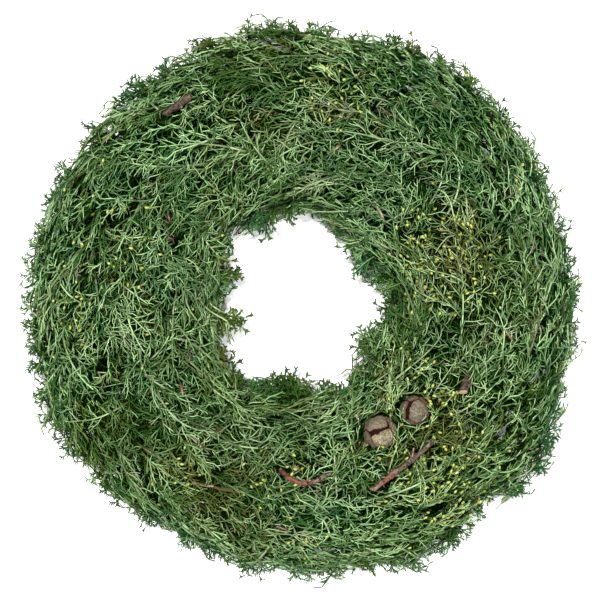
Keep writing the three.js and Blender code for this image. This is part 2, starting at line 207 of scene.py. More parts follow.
foliage = {
    "bunches": 10,
    "lanes": [("rim", 4), ("outer", 3), ("crown", 3), ("inner", 2), ("hole", 2)],  # and their laterals
    "stemLevel": 24.6,          # reach of the bound stems
    "crownReach": 71,           # reach of the outline on top, at the rim and in the hole
    "rimReach": 79.6,
    "holeReach": 63.4,
    "sideDroop": 34,            # degrees that the foliage hangs below the straw's middle
    "floorGap": 1.2,
    "rimLane": 25,              # degrees to the first lane's upper edge, and from edge to edge
    "laneWidth": 43.3,
    "laneWave": 4,              # degrees that the edges swing
    "helixShift": 0.125,        # each lane begins later than the one outside it, in bunches
    "wireShift": (0.06, 0.12),  # the wire lies past the stems' start, and past that under the straw
    # bulges (+) and dents (-) of the outline: degrees round, width, millimetres
    "rimBulges": [(328, 16, 9), (302, 9, 5), (312, 4, -8), (242, 14, -7), (60, 10, 6), (103, 12, 4),
                  (16, 8, -3), (79, 5, -3), (147, 10, -2), (206, 7, 5), (218, 4, -4), (264, 4, -4),
                  (293, 6, 6), (320, 7, 5), (344, 7, -3), (35, 4, 4)],
    "holeBulges": [(38, 20, 14), (195, 8, 10), (164, 9, 7), (330, 13, 9), (135, 9, -10), (224, 16, -11),
                   (292, 14, -7), (95, 14, -3)],
}
pitch = turn / foliage["bunches"]


# A steady value between two bounds for each set of keys.
def draw(low, high, *keys):
    mixed = 5.3 + sum(key * (12.9898 + 65.243 * i) for i, key in enumerate(keys))
    wave = math.sin(mixed) * 43758.5453
    return mix(low, high, wave - math.floor(wave))


def bulge(angle, bulges):
    degrees = math.degrees(angle)
    total = 0
    for at, width, by in bulges:
        away = (degrees - at + 180) % 360 - 180
        total += by * math.exp(-((away / width) ** 2))
    return total


# The outline's reach.
def envelope(angle, section):
    outwards = max(0, math.cos(section))
    inwards = max(0, -math.cos(section))
    rim = foliage["rimReach"] - foliage["crownReach"] + bulge(angle, foliage["rimBulges"])
    hole = foliage["holeReach"] - foliage["crownReach"] + bulge(angle, foliage["holeBulges"])
    return foliage["crownReach"] + outwards * rim + inwards * hole


def reachAt(angle, section, height):
    return mix(foliage["stemLevel"], envelope(angle, section), height)


def floorAngle(angle, side, height):
    rise = ring["height"] - foliage["floorGap"]
    return min(math.radians(foliage["sideDroop"]), math.asin(clamp(rise / reachAt(angle, side, height))))


def laneEdge(edge, angle, height):
    if edge == 0:
        return -floorAngle(angle, 0, height)
    if edge == len(foliage["lanes"]):
        return math.pi + floorAngle(angle, math.pi, height)
    wave = math.radians(foliage["laneWave"]) * math.sin(3 * angle + 2 * edge)
    return math.radians(foliage["rimLane"] + foliage["laneWidth"] * (edge - 1)) + wave


def inLane(lane, angle, across, height):
    section = mix(laneEdge(lane, angle, height), laneEdge(lane + 1, angle, height), (across + 1) / 2)
    return (angle, section, reachAt(angle, section, height))


def pointAt(spot):
    angle, section, reach = spot
    radius = ring["radius"] + reach * math.cos(section)
    return (radius * math.cos(angle), radius * math.sin(angle), ring["height"] + reach * math.sin(section))


def outward(spot):
    angle, section, _ = spot
    return (math.cos(section) * math.cos(angle), math.cos(section) * math.sin(angle), math.sin(section))


# One step over the wreath: heading 0 is anticlockwise round it, 90 degrees is up and over inwards.
def stepFrom(spot, heading, rise, distance):
    angle, section, reach = spot
    flat = distance * math.cos(rise)
    radius = max(30, ring["radius"] + reach * math.cos(section))
    return (angle + flat * math.cos(heading) / radius,
            section + flat * math.sin(heading) / reach,
            reach + distance * math.sin(rise))


def blendSpots(a, b, t):
    return tuple(mix(p, q, t) for p, q in zip(a, b))


# The foliage's surface in cells: columns round the wreath, rows over its section. Shoots are
# counted in two layers, near the outline and below.

surface = {
    "columns": 220,
    "rows": 76,
    "sections": (-0.62, math.pi + 0.62),
    "layers": (4, 10),          # mm under the outline
    "limits": (0.58, 0.44),     # mm of shoots for each square millimetre: no more branchlets grow
    "wanted": (0.4, 0.3),       # and where there is less, more shoots grow
    "sweeps": 5,
    "lackForShoot": 70,         # mm of shoots that one more shoot makes up for
    "shootLength": (13, 24),
    "shootDepth": (5, 9),       # mm under the outline
}
rowStep = (surface["sections"][1] - surface["sections"][0]) / surface["rows"]
columnAngles = (np.arange(surface["columns"]) + 0.5) / surface["columns"] * turn
rowSections = surface["sections"][0] + (np.arange(surface["rows"]) + 0.5) * rowStep
outline = np.array([[envelope(angle, section) for section in rowSections] for angle in columnAngles])
cellArea = (turn / surface["columns"] * (ring["radius"] + outline * np.cos(rowSections))) * outline * rowStep
aboveFloor = ring["height"] + outline * np.sin(rowSections) > foliage["floorGap"]
cover = [np.zeros(outline.shape), np.zeros(outline.shape)]


def cellOf(spots):
    column = (spots[..., 0] / turn * surface["columns"]).astype(int) % surface["columns"]
    row = ((spots[..., 1] - surface["sections"][0]) / rowStep).astype(int)
    return column, np.clip(row, 0, surface["rows"] - 1)


def spread(cells):
    cells = (np.roll(cells, 1, 0) + 2 * cells + np.roll(cells, -1, 0)) / 4
    padded = np.pad(cells, ((0, 0), (1, 1)), mode="edge")
    return (padded[:, :-2] + 2 * padded[:, 1:-1] + padded[:, 2:]) / 4


# The layer and cell of each stretch of a shoot.
def cellsAlong(spots):
    for a, b in zip(spots, spots[1:]):
        angle, section, reach = blendSpots(a, b, 0.5)
        column = int(angle / turn * surface["columns"]) % surface["columns"]
        row = int(clamp((section - surface["sections"][0]) / rowStep, 0, surface["rows"] - 1))
        under = outline[column, row] - reach
        yield (0 if under < surface["layers"][0] else 1 if under < surface["layers"][1] else 2), column, row


def countCover(spots, points):
    for (layer, column, row), a, b in zip(cellsAlong(spots), points, points[1:]):
        if layer < 2:
            cover[layer][column, row] += math.dist(a, b) / cellArea[column, row]


def isCrowded(spots):
    found = [(layer, cover[layer][column, row]) for layer, column, row in cellsAlong(spots) if layer < 2]
    if not found:
        return False
    return sum(amount / surface["limits"][layer] for layer, amount in found) > len(found)


frondStyle = {
    "fork": (30, 60),           # degrees between an axis and its shoots
    "shootGap": 4.2,            # mm between shoots, sides in turn
    "shoot": (14, 28),          # mm, the longest shoots of a frond
    "shootFork": (34, 54),      # degrees between a shoot and its branchlets
    "branchletGap": (2.8, 4.0),
    "branchlet": (7, 12),
    "curl": (8, 80),            # degrees that shoots turn towards the tip
    "wave": 12,                 # degrees that they swing to and fro
    "radius": 0.43,             # mm, a branchlet
    "light": (0.5, 0.94),       # how pale one frond is beside another
    "lightNoise": (0.5, 1.2),   # and one branchlet beside another
    "toneNoise": 0.07,
    "axisRadius": (0.8, 0.5),
    "lift": 15,                 # degrees that branchlets stray from the surface
    "stray": (6, 13.8, 18),     # mm that tips may stand over the outline: on top, at the rim, in the hole
    "depths": (0.3, 0.78),      # a branchlet deeper than these is left out, and is a plain inner shoot
    "roll": 24,                 # degrees that a frond is turned about its axis
    "bareShoot": (2.2, 4),      # mm from a shoot's root to its first branchlet
    "bareTip": 3,               # and from its last one to its tip
    "outwardCurl": 0.25,        # the share of shoots that curl the other way
    "along": (0.4, 1.42),       # a spray's length, in bunches
    # for each lane: which way its fronds head, in degrees, and how many of each kind a spray has
    "lean": {"rim": -34, "outer": -14, "crown": 0, "inner": 12, "hole": 26},
    "extraFronds": {"rim": 8, "outer": 8, "crown": 8, "inner": 6, "hole": 6},
    "wiryFronds": {"rim": 2, "outer": 3, "crown": 3, "inner": 2, "hole": 2},
    "innerShoots": {"rim": 440, "outer": 240, "crown": 210, "inner": 160, "hole": 210},
}

shafts = {
    "branchlet": readShaft(modelShaft("branchlet", 3, [
        (0, 1, 0.95), (0.32, 1.12, 1), (0.62, 1.08, 1), (0.9, 0.85, 0.9), (1, 0, 0)])),
    "inner": readShaft(modelShaft("innerShoot", 3, [
        (0, 1, 1), (0.5, 1.12, 1.12), (0.88, 0.85, 0.85), (1, 0, 0)])),
    "stem": readShaft(modelShaft("stem", 5, [
        (0, 1, 1), (0.33, 1.06, 0.98), (0.66, 0.98, 1.05), (1, 1, 1)])),
    "pollen": readShaft(modelShaft("pollenTip", 6, [
        (0, 0.4, 0.4), (0.14, 0.86, 0.82), (0.42, 1, 1), (0.72, 0.84, 0.88), (0.92, 0.42, 0.42), (1, 0, 0)])),
}

pollen = {
    "length": (2.8, 3.9),       # mm
    "radius": (0.9, 1.2),
    "overlap": 0.8,             # mm of the branchlet that lie in it
    "least": 0.008,             # the share of tips that bear pollen anywhere
    # where more do: middle, radius, and how many of them
    "patches": [
        ((22, 172), 26, 0.2), ((24, 150), 20, 0.3), ((100, 30), 40, 0.42), ((95, -118), 46, 0.36),
        ((108, -112), 26, 0.36), ((125, -152), 28, 0.36), ((76, -44), 15, 0.5), ((108, -72), 16, 0.42),
        ((70, -78), 12, 0.5), ((88, -98), 10, 0.6), ((118, 56), 14, 0.75),
        ((-172, -10), 18, 0.25), ((-140, 42), 34, 0.16), ((-22, -135), 24, 0.25), ((-3, -194), 15, 0.3),
        ((-90, -124), 14, 0.25),
    ],
}


def pollenShare(point):
    share = 0
    for (x, y), radius, most in pollen["patches"]:
        away = math.hypot(point[0] - x, point[1] - y) / radius
        share = max(share, most * clamp(1.6 - 1.2 * away))
    return max(pollen["least"], share * clamp((point[2] - 25) / 45))


def newBag():
    return {kind: {"paths": [], "spots": [], "radii": [], "ups": [], "tints": []} for kind in shafts}


# 0 at the bound stems and 1 on the outline.
def depthOf(spot):
    angle, section, reach = spot
    level = foliage["stemLevel"]
    return (reach - level) / (envelope(angle, section) - level)


# Adds one copy to a spray, by four spots from its root to its tip.
def addCopy(bag, kind, spots, radii, rng, tone, light=0.7, wood=0.0, pollenTint=0.0, claw=False):
    middle = spots[2]
    over = max(reach - envelope(angle, section) for angle, section, reach in spots)
    onTop, atRim, inHole = frondStyle["stray"]
    if not claw and over > (onTop if math.sin(middle[1]) > 0.6 else inHole if middle[1] > 2 else atRim):
        return
    depth = depthOf(middle)
    if kind == "branchlet" and depth < frondStyle["depths"][1]:
        if depth < frondStyle["depths"][0]:
            return
        kind = "inner"
    lowest = foliage["floorGap"]
    points = [pointAt(spot) for spot in spots]
    points = [(x, y, z if z > lowest else lowest + 0.25 * rng.random()) for x, y, z in points]
    countCover(spots, points)
    copies = bag[kind]
    copies["paths"].append(points)
    copies["spots"].append(spots)
    copies["radii"].append(radii)
    copies["ups"].append([part + rng.uniform(-0.6, 0.6) for part in outward(spots[1])])
    copies["tints"].append((tone, light * rng.uniform(*frondStyle["lightNoise"]), wood, pollenTint))


def curvedSpots(rng, spot, heading, curl, rise, length, upright=0.0):
    wave = math.radians(rng.gauss(0, frondStyle["wave"]))
    spots = [spot]
    for share, swing, lift in ((0.17, 1, 1), (0.5, -1, 0.6), (0.83, 0.8, 0.15)):
        lift = mix(lift, 1, upright)
        spots.append(stepFrom(spots[-1], heading + curl * share + wave * swing, rise * lift, length / 3))
    return spots


def alongSpots(spots, t):
    at = clamp(t, 0, 0.9999) * (len(spots) - 1)
    return blendSpots(spots[int(at)], spots[int(at) + 1], at - int(at))


# Keeps a shoot's end within the wreath's outline, but for a few stray tips.
def tameRise(spot, rise, rng):
    room = envelope(spot[0], spot[1]) - spot[2]
    if room < 1 and rise > -0.1:
        return -0.12 if rng.random() < 0.85 else rise
    if rise > 0 and room < 4:
        return rise * 0.3
    return rise


def curlOf(rng, side, look):
    curl = -side * math.radians(rng.uniform(*frondStyle["curl"])) * look["bend"]
    return curl if rng.random() < 1 - frondStyle["outwardCurl"] else -0.7 * curl


# Where a branchlet forks once more: in mm, degrees, and shares of its length.
offshoots = {"onLength": 9, "fork": (22, 45), "at": (0.35, 0.65), "share": (0.35, 0.6)}


def growBranchlet(bag, rng, spot, heading, side, length, rise, look):
    curl = curlOf(rng, side, look)
    upright = look.get("upright", 0)
    tamed = rise if upright else tameRise(spot, rise, rng)
    spots = curvedSpots(rng, spot, heading, curl, tamed, length, upright)
    if isCrowded(spots) and not upright:
        return
    thick = frondStyle["radius"] * look["thick"] * rng.uniform(0.88, 1.12)
    tone = clamp(look["tone"] + rng.gauss(0, frondStyle["toneNoise"]))
    addCopy(bag, "branchlet", spots, (thick, thick * 0.88), rng, tone, look["light"], look["wood"])
    if length > offshoots["onLength"] and rng.random() < look["forked"]:
        fork = rng.choice((-1, 1)) * math.radians(rng.uniform(*offshoots["fork"]))
        at = rng.uniform(*offshoots["at"])
        offshoot = curvedSpots(rng, alongSpots(spots, at), heading + curl * at + fork, -0.5 * fork, 0,
                               length * rng.uniform(*offshoots["share"]))
        addCopy(bag, "branchlet", offshoot, (thick, thick * 0.85), rng, tone, look["light"], look["wood"])
    tip = spots[3]
    if depthOf(tip) > 0.6 and rng.random() < pollenShare(pointAt(tip)):
        bud = rng.uniform(*pollen["length"])
        start = stepFrom(tip, heading + curl, 0, -pollen["overlap"])
        budSpots = curvedSpots(rng, start, heading + curl, 0, rise * 0.3, bud)
        wide = rng.uniform(*pollen["radius"])
        addCopy(bag, "pollen", budSpots, (wide, wide), rng, tone, 1, 0, 1)


def growShoot(bag, rng, spot, heading, side, length, rise, look):
    curl = curlOf(rng, side, look)
    upright = look.get("upright", 0)
    rise = rise if upright else tameRise(spot, rise, rng)
    spots = curvedSpots(rng, spot, heading, curl, rise, length, upright)
    thick = frondStyle["radius"] * look["thick"] * 1.08
    addCopy(bag, "branchlet", spots, (thick * 1.15, thick * 0.85), rng, look["tone"], look["light"],
            look["wood"])
    at = rng.uniform(*frondStyle["bareShoot"])
    way = rng.choice((-1, 1))
    while at < length - frondStyle["bareTip"]:
        t = at / length
        way = -way if rng.random() < 0.92 else way
        fork = math.radians(rng.uniform(*frondStyle["shootFork"]))
        reachOut = look["branchlet"] * mix(1, 0.5, t) * rng.uniform(0.8, 1.15)
        reachOut = min(reachOut, 0.8 * length)
        lift = rise * (0.9 if upright else 0.5) + math.radians(rng.gauss(2, frondStyle["lift"]))
        growBranchlet(bag, rng, alongSpots(spots, t), heading + curl * t + way * fork, way,
                      reachOut, lift, look)
        at += look["gap"] * rng.uniform(0.88, 1.15)


# Adds three stems, end to end, along ten spots. wood: the share of it for each of them.
def addStems(bag, rng, spots, thickness, factor, tone, light, woods):
    for i, wood in zip((0, 3, 6), woods):
        radii = (mix(*thickness, i / 9) * factor, mix(*thickness, (i + 3) / 9) * factor)
        addCopy(bag, "stem", spots[i:i + 4], radii, rng, tone, light, wood)


# A frond on its axis: bare near the root, widest at a third, tapering to its tip.
def growFrond(bag, rng, course, look, bare=0.12):
    spots = [course(i / 9) for i in range(10)]
    points = [Vector(pointAt(spot)) for spot in spots]
    steps = [(b - a).length for a, b in zip(points, points[1:])]
    total = sum(steps)
    addStems(bag, rng, spots, frondStyle["axisRadius"], look["thick"], look["tone"], look["light"],
             [max(look["wood"], 0.28 - 0.03 * i) for i in (0, 3, 6)])
    roll = math.radians(rng.gauss(0, frondStyle["roll"]))
    at = total * bare + rng.uniform(0, 3)
    side = rng.choice((-1, 1))
    heading = 0
    while at < total - 1:
        run, i = at, 0
        while run > steps[i] and i < 8:
            run -= steps[i]
            i += 1
        here = blendSpots(spots[i], spots[i + 1], clamp(run / steps[i]))
        reach, radius = here[2], ring["radius"] + here[2] * math.cos(here[1])
        heading = math.atan2((spots[i + 1][1] - spots[i][1]) * reach,
                             (spots[i + 1][0] - spots[i][0]) * radius)
        t = at / total
        side = -side
        fork = math.radians(rng.uniform(*frondStyle["fork"])) * mix(1.05, 0.8, t)
        grown = 0.55 + 1.5 * t if t < 0.3 else 1 - 0.65 * ((t - 0.3) / 0.7) ** 1.2
        length = look["shoot"] * grown * rng.uniform(0.75, 1.2)
        rise = side * roll + math.radians(rng.gauss(3, 8))
        growShoot(bag, rng, here, heading + side * fork, side, length, rise, look)
        at += frondStyle["shootGap"] * look["sparse"] * rng.uniform(0.75, 1.25)
    growShoot(bag, rng, spots[9], heading, rng.choice((-1, 1)), 0.6 * look["shoot"], 0, look)


# The core of a spray's CAD node: how high in the foliage it lies, and how far from its lane's middle.
coreShape = [(0, 0.05), (0.13, 0.052), (0.36, 0.2), (0.8, 0.47), (1.2, 0.68), (1.7, 0.8)]


def coreHeight(along):
    for (a, low), (b, high) in zip(coreShape, coreShape[1:]):
        if along <= b:
            return mix(low, high, (along - a) / (b - a))
    return coreShape[-1][1]


def coreAcross(bunch, along):
    return 0.22 * math.sin(4 * along + bunch) * clamp(along - 0.2)


def sprayPoint(bunch, lane, along, across, height):
    angle = pitch * (bunch + foliage["helixShift"] * lane + along)
    return inLane(lane, angle, across, height)


# The lane at a place of the outline, and the bunch whose spray lies there.
def laneAt(angle, section):
    last = len(foliage["lanes"]) - 1
    return next((i for i in range(last) if section < laneEdge(i + 1, angle, 1)), last)


def bunchAt(angle, lane):
    return int((angle / pitch - foliage["helixShift"] * lane - 0.75) // 1) % foliage["bunches"]


# Bits of bare stem on top of the foliage: where they run, in millimetres, and how dark red they are.
stemBits = [((-101, 66), (-99, 58), 1), ((-99, 52), (-97, 44), 1), ((-164, -29), (-156, -36), 1),
            ((-152, -53), (-148, -60), 1), ((-85, -97), (-76, -104), 0.9), ((-76, -104), (-66, -112), 1),
            ((-130, -127), (-122, -133), 1), ((-18, -166), (-12, -171), 1), ((-83, -135), (-66, -138), 0.6),
            ((-66, -138), (-48, -141), 0.6), ((52, 74), (62, 60), 0.5), ((-92, -60), (-86, -72), 0.8),
            ((96, 150), (108, 144), 0.7), ((20, 110), (30, 118), 0.7), ((150, -20), (158, -32), 0.8)]
stemBitRadii = (1.25, 1.0)


def spotOver(x, y, height):
    angle, section = math.atan2(y, x) % turn, 0.5 * math.pi
    for _ in range(6):
        reach = envelope(angle, section) * height
        section = math.acos(clamp((math.hypot(x, y) - ring["radius"]) / reach, -0.99, 0.99))
    return (angle, section, reach)


def growStemBits(bag, rng, bunch, lane, tone):
    for start, end, wood in stemBits:
        spots = [spotOver(mix(start[0], end[0], i / 3) + rng.uniform(-1.5, 1.5),
                          mix(start[1], end[1], i / 3) + rng.uniform(-1.5, 1.5), rng.uniform(0.9, 0.96))
                 for i in range(4)]
        angle, section, _ = spots[1]
        if laneAt(angle, section) == lane and bunchAt(angle, lane) == bunch:
            addCopy(bag, "stem", spots, stemBitRadii, rng, tone, 1, wood)


# What one frond looks like: colours, thickness, and how it forks.
def newLook(rng, tone):
    return {
        "tone": tone,
        "light": rng.uniform(*frondStyle["light"]),
        "wood": rng.choices((0, rng.uniform(0.08, 0.2), rng.uniform(0.2, 0.45)), (0.9, 0.085, 0.015))[0],
        "thick": rng.uniform(0.88, 1.1),
        "bend": rng.uniform(0.3, 1.2),
        "gap": rng.uniform(*frondStyle["branchletGap"]),
        "branchlet": rng.uniform(*frondStyle["branchlet"]),
        "shoot": rng.uniform(*frondStyle["shoot"]),
        "sparse": rng.uniform(0.85, 1.2),
        "forked": rng.uniform(0.1, 0.5),
    }


def newWiryLook(rng, tone):
    return newLook(rng, tone) | {
        "thick": rng.uniform(1.05, 1.2), "gap": rng.uniform(5, 7.5), "branchlet": rng.uniform(12, 19),
        "shoot": rng.uniform(24, 34), "sparse": rng.uniform(1.9, 2.8), "forked": 0.6,
        "wood": rng.uniform(0.02, 0.18), "light": rng.uniform(0.6, 0.95),
    }


# The laterals of the spray's CAD node, in the same places.
def lateralCourse(bunch, lane, index, start, side, length, leader):
    key = (bunch, lane, index)
    far = length - start if leader else draw(0.34, 0.46, *key, 1)
    end = (min(start + far, length), 0.3 * side if leader else side * draw(0.5, 0.8, *key, 2),
           draw(0.82, 0.92, *key, 3))
    root = (start, coreAcross(bunch, start), coreHeight(start))
    bend = 0.5 if leader else 0.62

    def course(t):
        return sprayPoint(bunch, lane, mix(root[0], end[0], t), mix(root[1], end[1], t ** 0.8),
                          mix(root[2], end[2], t ** bend))
    return course


# A frond between the laterals, rising fast and then lying over them.
def looseCourse(rng, spot, heading, length, rise, end):
    swing = math.radians(rng.gauss(0, 32))
    start = depthOf(spot)
    spots = [spot]
    for i in range(8):
        t = (i + 1) / 8
        angle, section, _ = stepFrom(spots[-1], heading + swing * t, 0, length / 8)
        spots.append((angle, section, reachAt(angle, section, mix(start, end, t ** rise))))
    return lambda t: alongSpots(spots, t)


looseStyle = {
    "plain": {"length": (26, 54), "stray": 50, "higher": 0},        # stray: degrees from the lane's lean
    "wiry": {"length": (40, 66), "stray": 38, "higher": 0.04},
    "rise": (0.4, 0.8),
    "ends": (0.86, 1.0),        # how high in the foliage the tips lie
    "holeEnds": (0.7, 0.88),
}


def growLooseFronds(bag, rng, bunch, lane, count, tones, wiry=False):
    name = foliage["lanes"][lane][0]
    style = looseStyle["wiry" if wiry else "plain"]
    for index in range(count):
        tone = tones[10 + index % 10]
        look = newWiryLook(rng, tone) if wiry else newLook(rng, tone)
        start = mix(0.45, 1.4, (index + rng.random()) / count)
        spot = sprayPoint(bunch, lane, start, rng.uniform(-1, 1), rng.uniform(0.5, 0.8))
        heading = math.radians(frondStyle["lean"][name] + rng.gauss(0, style["stray"]))
        end = rng.uniform(*looseStyle["holeEnds" if name == "hole" else "ends"])
        length = rng.uniform(*style["length"])
        rise = rng.uniform(*looseStyle["rise"])
        course = looseCourse(rng, spot, heading, length, rise, end + style["higher"])
        growFrond(bag, rng, course, look, 0.04)


clawStyle = {
    "radii": (0.7, 0.62, 0.55),     # mm: the axis, its shoots, and their forks
    "fork": (34, 50),               # degrees
    "forkLength": (2.4, 3.8),       # mm
    "gap": (2.4, 3.4),              # mm between shoots, sides in turn
}


# A flat forked tip that lies level, as those at the edges do.
def growClaw(bag, rng, spot, aim, length, look):
    x, y, level = pointAt(spot)
    axisRadius, shootRadius, forkRadius = clawStyle["radii"]

    def stroke(x, y, aim, length, thick):
        curl = rng.uniform(-0.5, 0.5)
        course = [(x, y)]
        for i in range(3):
            x, y = x + length / 3 * math.cos(aim), y + length / 3 * math.sin(aim)
            aim += curl / 3
            course.append((x, y))
        spots = []
        for x, y in course:
            flat = math.hypot(x, y) - ring["radius"]
            rise = level - ring["height"]
            section = math.atan2(rise, flat)
            spots.append((math.atan2(y, x) % turn, section + turn if section < -2 else section,
                          math.hypot(flat, rise)))
        radii = (thick * look["thick"], thick * look["thick"] * 0.85)
        addCopy(bag, "branchlet", spots, radii, rng, look["tone"], look["light"], look["wood"], claw=True)
        return course

    axis = stroke(x, y, aim, length, axisRadius)
    side = rng.choice((-1, 1))
    at = 0.25 * length
    while at < length - 1.5:
        t = at / length
        side = -side
        onChord = (mix(axis[0][0], axis[3][0], t), mix(axis[0][1], axis[3][1], t))
        root = onChord if t < 0.8 else axis[min(3, int(3 * t + 0.5))]
        way = aim + side * math.radians(rng.uniform(*clawStyle["fork"]))
        reachOut = 0.6 * length * mix(1, 0.4, t) * rng.uniform(0.8, 1.2)
        shoot = stroke(*root, way, reachOut, shootRadius)
        for step, fork in ((1, side), (2, -side), (2, side)):
            if reachOut > 3.4:
                off = way - fork * math.radians(rng.uniform(*clawStyle["fork"]))
                stroke(*shoot[step], off, rng.uniform(*clawStyle["forkLength"]), forkRadius)
        at += rng.uniform(*clawStyle["gap"])


# What stands out of the rim: claws, and longer shoots by degrees round and millimetres over the outline.
rimTips = {
    "claws": 16,                # for each spray
    "clawLength": (9, 15),
    "clawLight": (0.3, 0.65),
    "shoots": [(98, 11), (95, 7), (-86, 10), (-83, 6), (118, 5), (111, 7), (129, 7), (62, 6), (54, 6),
               (35, 8), (30, 4), (5, 6), (-22, 4), (-34, 8), (-40, 8), (-60, 7), (-67, 8), (-110, 6),
               (-140, 4), (-154, 8), (-165, 5), (180, 7), (172, 6), (150, 4), (134, 5), (-97, 4)],
    "root": 62,                 # mm, how far out the shoots start
    "shootLength": (9, 14),
    "shootLight": (0.35, 0.75),
}


def growRimTips(bag, rng, bunch, lane, tones):
    for index in range(rimTips["claws"]):
        spot = sprayPoint(bunch, lane, rng.uniform(*frondStyle["along"]), rng.uniform(-0.7, 0.8), 1)
        spot = (spot[0], spot[1], spot[2] - 5)
        look = newLook(rng, tones[index]) | {"light": rng.uniform(*rimTips["clawLight"])}
        growClaw(bag, rng, spot, spot[0] + rng.uniform(-0.5, 1.1), rng.uniform(*rimTips["clawLength"]), look)
    for degrees, over in rimTips["shoots"]:
        angle = math.radians(degrees) % turn
        if bunchAt(angle, lane) != bunch:
            continue
        way, section = rng.choice((-1, 1, 1)), rng.uniform(-0.1, 0.35)
        start = (angle - 0.12 * way, section + rng.uniform(-0.1, 0.1), rimTips["root"])
        end = (angle, section, envelope(angle, section) + over)
        look = newLook(rng, tones[0]) | {
            "upright": 0.7, "shoot": rng.uniform(*rimTips["shootLength"]),
            "light": rng.uniform(*rimTips["shootLight"]), "branchlet": 5.5, "sparse": 0.85, "gap": 2.4,
            "thick": 1.15}
        growFrond(bag, rng, lambda t: blendSpots(start, end, t), look, 0.02)


# Claws that stand out into the hole: degrees round, and millimetres over its outline.
holeTips = {
    "claws": [(106, 16), (101, 10), (163, 15), (169, 12), (156, 8), (191, 16), (197, 12), (228, 9),
              (250, 15), (255, 11), (264, 14), (270, 10), (42, 14), (36, 12), (8, 14), (-14, 8), (-31, 14),
              (-36, 11), (-56, 10), (140, 8), (62, 8), (-80, 11), (118, 7), (212, 8), (20, 8), (180, 9),
              (238, 8), (-65, 7), (-5, 8), (75, 7)],
    "sunk": 6,                  # mm under the outline, where they start
    # how lit the claws are painted: low, as painted shade on tips down in the hole
    "light": (0.3, 0.6),
    "thick": (1.15, 1.4),
}


def growHoleTips(bag, rng, bunch, lane, tones):
    for degrees, over in holeTips["claws"]:
        angle = math.radians(degrees) % turn
        if bunchAt(angle, lane) != bunch:
            continue
        for level in range(2):
            section = math.pi - rng.uniform(0, 0.5)
            spot = (angle + rng.uniform(-0.08, 0.08), section, envelope(angle, section) - holeTips["sunk"])
            look = newLook(rng, tones[level]) | {
                "light": rng.uniform(*holeTips["light"]), "thick": rng.uniform(*holeTips["thick"])}
            aim = angle + math.pi + rng.uniform(-0.7, 0.7)
            growClaw(bag, rng, spot, aim, 8 + over * (0.9 - 0.35 * level), look)


# Short forked tips that stand out at the rim and in the hole.
edgeTips = {
    "counts": {"rim": 60, "hole": 26},
    "sunk": (4, 9),             # mm under the outline
    "stray": 45,                # degrees from the lane's lean
    "length": (8, 16),
    "rise": (30, 70),           # degrees
    "branchlet": (4, 7),
    "light": (0.3, 0.7),
}


def growEdgeTips(bag, rng, bunch, lane, tones):
    name = foliage["lanes"][lane][0]
    out = 1 if name == "rim" else -1
    for index in range(edgeTips["counts"][name]):
        spot = sprayPoint(bunch, lane, rng.uniform(*frondStyle["along"]), rng.uniform(-0.75, 0.85) * out, 1)
        spot = (spot[0], spot[1], spot[2] - rng.uniform(*edgeTips["sunk"]))
        heading = math.radians(frondStyle["lean"][name] + rng.gauss(0, edgeTips["stray"]))
        look = newLook(rng, tones[index % 10]) | {
            "branchlet": rng.uniform(*edgeTips["branchlet"]), "gap": 2.2, "bend": 1.6,
            "light": rng.uniform(*edgeTips["light"]), "upright": 0.8}
        growShoot(bag, rng, spot, heading, rng.choice((-1, 1)), rng.uniform(*edgeTips["length"]),
                  math.radians(rng.uniform(*edgeTips["rise"])), look)


# Short fronds that rise out of the rim and the hole.
tufts = {
    "counts": {"rim": 10, "hole": 6},
    "headings": {"rim": -75, "hole": 75},       # degrees
    "stray": 42,
    "starts": (0.72, 0.9),      # how high in the foliage they start and end
    "ends": {"rim": (0.96, 1.12), "hole": (0.96, 1.26)},
    "length": (16, 34),
    "rise": 0.9,
}


def growTufts(bag, rng, bunch, lane, tones):
    name = foliage["lanes"][lane][0]
    out = 1 if name == "rim" else -1
    for index in range(tufts["counts"][name]):
        spot = sprayPoint(bunch, lane, rng.uniform(0.4, 1.4), rng.uniform(-0.5, 0.9) * out,
                          rng.uniform(*tufts["starts"]))
        heading = math.radians(tufts["headings"][name] + rng.gauss(0, tufts["stray"]))
        end = rng.uniform(*tufts["ends"][name])
        course = looseCourse(rng, spot, heading, rng.uniform(*tufts["length"]), tufts["rise"], end)
        growFrond(bag, rng, course, newLook(rng, tones[index % 10]), 0.02)


stems = {"count": 6, "radius": (1.7, 0.7), "light": 0.7, "wood": 0.75}


def growStems(bag, rng, bunch, lane, tone):
    for index in range(stems["count"]):
        drift = rng.uniform(-0.5, 0.5)
        level = rng.uniform(0.7, 1.1)
        spots = []
        for i in range(10):
            along = mix(0, 1.05, i / 9)
            across = coreAcross(bunch, along) + drift * (0.25 + 0.5 * along)
            spots.append(sprayPoint(bunch, lane, along, across, coreHeight(along) * level))
        addStems(bag, rng, spots, stems["radius"], 1, tone, stems["light"], [stems["wood"]] * 3)


# Plain dark shoots that fill the inside of the foliage.
innerStyle = {
    "highest": [0.95, 0.8, 0.66, 0.66, 0.8],      # for each lane
    "length": (13, 22),
    "radii": (0.95, 0.8),
    "stray": 50,
}


def growInnerShoots(bag, rng, bunch, lane, count, tone):
    lean = frondStyle["lean"][foliage["lanes"][lane][0]]
    for index in range(count):
        spot = sprayPoint(bunch, lane, rng.uniform(0.25, 1.45), rng.uniform(-1, 1),
                          rng.uniform(0.12, innerStyle["highest"][lane]))
        heading = math.radians(rng.gauss(lean, innerStyle["stray"]))
        spots = curvedSpots(rng, spot, heading, rng.uniform(-0.5, 0.5), math.radians(rng.gauss(8, 12)),
                            rng.uniform(*innerStyle["length"]))
        addCopy(bag, "inner", spots, innerStyle["radii"], rng, tone)


